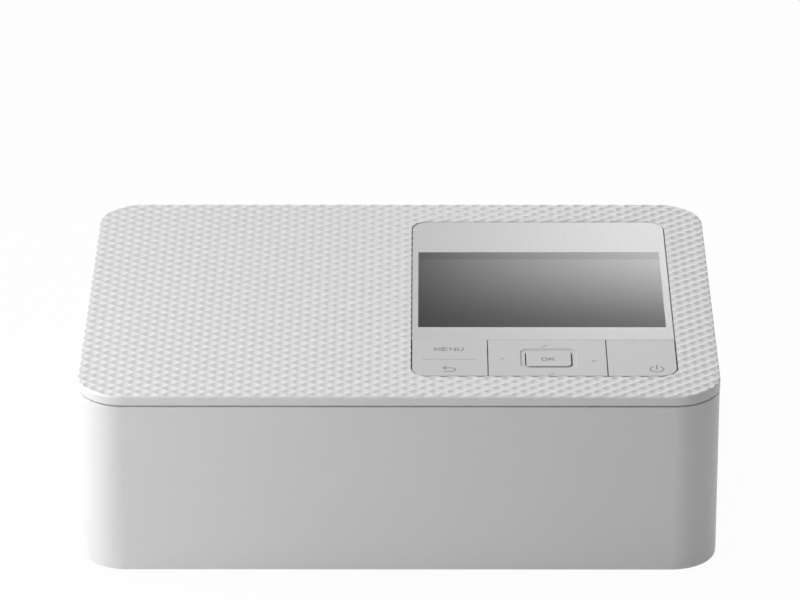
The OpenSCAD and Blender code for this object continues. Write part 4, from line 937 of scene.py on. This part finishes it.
def cross_screw_tree():
    """A head with two crossed slots cut in it, on a plain shank, put at every given place."""
    tree, given = new_tree("cross_screw", "GeometryNodeTree", (
        ("Head Radius", "Float", 0.001), ("Head Height", "Float", 0.001),
        ("Shank Radius", "Float", 0.001), ("Shank Length", "Float", 0.001),
        ("Turn", "Vector", (0, 0, 0)), ("Places", "Object", None),
        ("Material", "Material", None)), MESH_OUTPUT)

    def times(label, factor):
        return reckon(tree, "MULTIPLY", given[label], factor)

    def moved(mesh, z):
        spot = new_node(tree, "ShaderNodeCombineXYZ", {"Z": z})
        return new_node(tree, "GeometryNodeTransform", {
            "Geometry": mesh, "Translation": spot.outputs[0]}).outputs[0]

    def rod(radius, length):
        return new_node(tree, "GeometryNodeMeshCylinder", {
            "Vertices": 32, "Radius": given[radius], "Depth": given[length]}).outputs["Mesh"]

    head = moved(rod("Head Radius", "Head Height"), times("Head Height", 0.5))
    cut = new_node(tree, "GeometryNodeMeshBoolean", {"Mesh 1": head}, operation="DIFFERENCE")
    for across, along in (SLOT_SIZE, SLOT_SIZE[::-1]):
        size = new_node(tree, "ShaderNodeCombineXYZ", {
            "X": times("Head Radius", across), "Y": times("Head Radius", along),
            "Z": given["Head Height"]})
        slot = new_node(tree, "GeometryNodeMeshCube", {"Size": size.outputs[0]}).outputs["Mesh"]
        tree.links.new(moved(slot, times("Head Height", SLOT_RISE)), cut.inputs["Mesh 2"])
    shank = moved(rod("Shank Radius", "Shank Length"), times("Shank Length", -0.5))
    both = new_node(tree, "GeometryNodeJoinGeometry", {0: cut.outputs["Mesh"]})
    tree.links.new(shank, both.inputs[0])
    turned_over = new_node(tree, "GeometryNodeTransform", {
        "Geometry": both.outputs[0], "Rotation": given["Turn"]})
    places = new_node(tree, "GeometryNodeObjectInfo", {"Object": given["Places"]})
    put = new_node(tree, "GeometryNodeInstanceOnPoints", {
        "Points": places.outputs["Geometry"], "Instance": turned_over.outputs[0]})
    return painted(tree, given, real(tree, put.outputs[0]))


def solids_of(node):
    """The corners of the box round each loose solid of a CAD node, in mm."""
    shape = bmesh.new()
    shape.from_mesh(nodes[node].data)
    bmesh.ops.remove_doubles(shape, verts=shape.verts, dist=WELD / 2)
    left, boxes = set(shape.verts), []
    while left:
        group, waiting = set(), [next(iter(left))]
        while waiting:
            v = waiting.pop()
            if v not in group:
                group.add(v)
                waiting += [e.other_vert(v) for e in v.link_edges]
        left -= group
        boxes.append([Vector([pick(v.co[i] for v in group) for i in range(3)]) / MM
                      for pick in (min, max)])
    shape.free()
    return boxes


screw_steel = surface("screw_steel", skin, {
    "Tint": (0.6, 0.6, 0.6, 1), "Grain": (700, 700, 700), "Mottle": 0.15, "Roughness": 0.28},
    bump=0.06, metallic=1.0)
screw_tree = cross_screw_tree()
for node, head_height, shank, faces_down in SCREWS:
    boxes = solids_of(node)
    low, high = boxes[0]
    seat = low.z + head_height if faces_down else high.z - head_height
    spots = bpy.data.meshes.new("screw_spots")
    spots.from_pydata([Vector(((a.x + b.x) / 2, (a.y + b.y) / 2, seat)) * MM for a, b in boxes], [], [])
    holder = bpy.data.objects.new("screw_spots", spots)
    bpy.context.scene.collection.objects.link(holder)
    mesh = grown(node + "_cross", screw_tree, {
        "Head Radius": (high.x - low.x) / 2 * MM, "Head Height": head_height * MM,
        "Shank Radius": shank * MM, "Shank Length": (high.z - low.z - head_height) * MM,
        "Turn": (pi if faces_down else 0.0, 0.0, 0.0), "Places": holder, "Material": screw_steel})
    bpy.data.objects.remove(holder)
    shape = bmesh.new()
    shape.from_mesh(mesh)
    screws = shown(node + "_cross", shape, screw_steel)
    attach(screws, "case")
    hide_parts(node)

# ---------------------------------------------------------------------------------------------
# Rollers: ground black rubber on the platen and the pick-up roller.
roller_rubber = surface("roller_rubber", skin, {
    "Tint": (0.028, 0.028, 0.03, 1), "Grain": (2200, 700, 700), "Mottle": 0.2, "Roughness": 0.7},
    bump=0.35, depth=0.03)
dress(roller_rubber, "platen_roller", "pickup_roller")

# ---------------------------------------------------------------------------------------------
# Gears and spools in natural acetal, the grey cassette, its blue latch and the dye ribbon.
gear_white = surface("gear_white", skin, {
    "Tint": (0.7, 0.69, 0.65, 1), "Mottle": 0.04, "Roughness": 0.34},
    bump=0.05, subsurface_weight=0.15, subsurface_radius=(0.002, 0.002, 0.002))
dress(gear_white, "grip_gear", "idler_gear", "takeup_gear", "takeup_spool", "supply_spool")
cassette_grey = surface("cassette_grey", skin, {
    "Tint": (0.2, 0.205, 0.225, 1), "Mottle": 0.06, "Roughness": 0.45}, bump=0.2)
dress(cassette_grey, "ribbon_case")
latch_blue = surface("latch_blue", skin, {"Tint": (0.05, 0.17, 0.36, 1), "Roughness": 0.38}, bump=0.1)
dress(latch_blue, "ribbon_latch")
ribbon_foil = surface("ribbon_foil", skin, {
    "Tint": (0.52, 0.33, 0.045, 1), "Grain": (900, 60, 60), "Mottle": 0.12, "Roughness": 0.22},
    bump=0.1, coat_weight=0.6, coat_roughness=0.1)
dress(ribbon_foil, "supply_roll", "ribbon_film")
head_ceramic = surface("head_ceramic", skin, {
    "Tint": (0.6, 0.57, 0.5, 1), "Mottle": 0.04, "Roughness": 0.2},
    bump=0.03, coat_weight=0.8, coat_roughness=0.08)
dress(head_ceramic, "thermal_head")

# ---------------------------------------------------------------------------------------------
# Head springs: two coils of spring wire wound round the head's shaft, which lift the head.
SPRING_WIRE = 0.4
SPRING_TURNS = 9
SPRING_CREASE = radians(60)


def coil_tree():
    """Round wire wound to a helix along Z."""
    tree, given = new_tree("coil", "GeometryNodeTree", (
        ("Turns", "Float", 5.0), ("Radius", "Float", 0.001), ("Length", "Float", 0.001),
        ("Wire", "Float", 0.001),
        ("Material", "Material", None)), MESH_OUTPUT)
    helix = new_node(tree, "GeometryNodeCurveSpiral", {
        "Resolution": 28, "Rotations": given["Turns"], "Start Radius": given["Radius"],
        "End Radius": given["Radius"], "Height": given["Length"]})
    wire = new_node(tree, "GeometryNodeCurvePrimitiveCircle", {"Resolution": 10, "Radius": given["Wire"]})
    tube = new_node(tree, "GeometryNodeCurveToMesh", {
        "Curve": helix.outputs["Curve"], "Profile Curve": wire.outputs["Curve"], "Fill Caps": True})
    return painted(tree, given, real(tree, tube.outputs[0]))


spring_steel = surface("spring_steel", skin, {
    "Tint": (0.5, 0.5, 0.51, 1), "Grain": (600, 600, 600), "Roughness": 0.25}, bump=0.05, metallic=1.0)
boxes = solids_of("head_springs")
low, high = boxes[0]
coil = grown("head_coil", coil_tree(), {
    "Turns": float(SPRING_TURNS), "Radius": ((high.z - low.z) / 2 - SPRING_WIRE) * MM,
    "Length": (high.x - low.x - 2 * SPRING_WIRE) * MM, "Wire": SPRING_WIRE * MM,
    "Material": spring_steel})
shape = bmesh.new()
for a, b in boxes:
    wound = coil.copy()
    start = Vector((a.x + SPRING_WIRE, (a.y + b.y) / 2, (a.z + b.z) / 2))
    wound.transform(Matrix.Translation(start * MM) @ Matrix.Rotation(pi / 2, 4, "Y"))
    shape.from_mesh(wound)
    bpy.data.meshes.remove(wound)
springs = shown("head_springs_wound", shape, spring_steel, SPRING_CREASE)
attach(springs, "case")
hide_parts("head_springs")
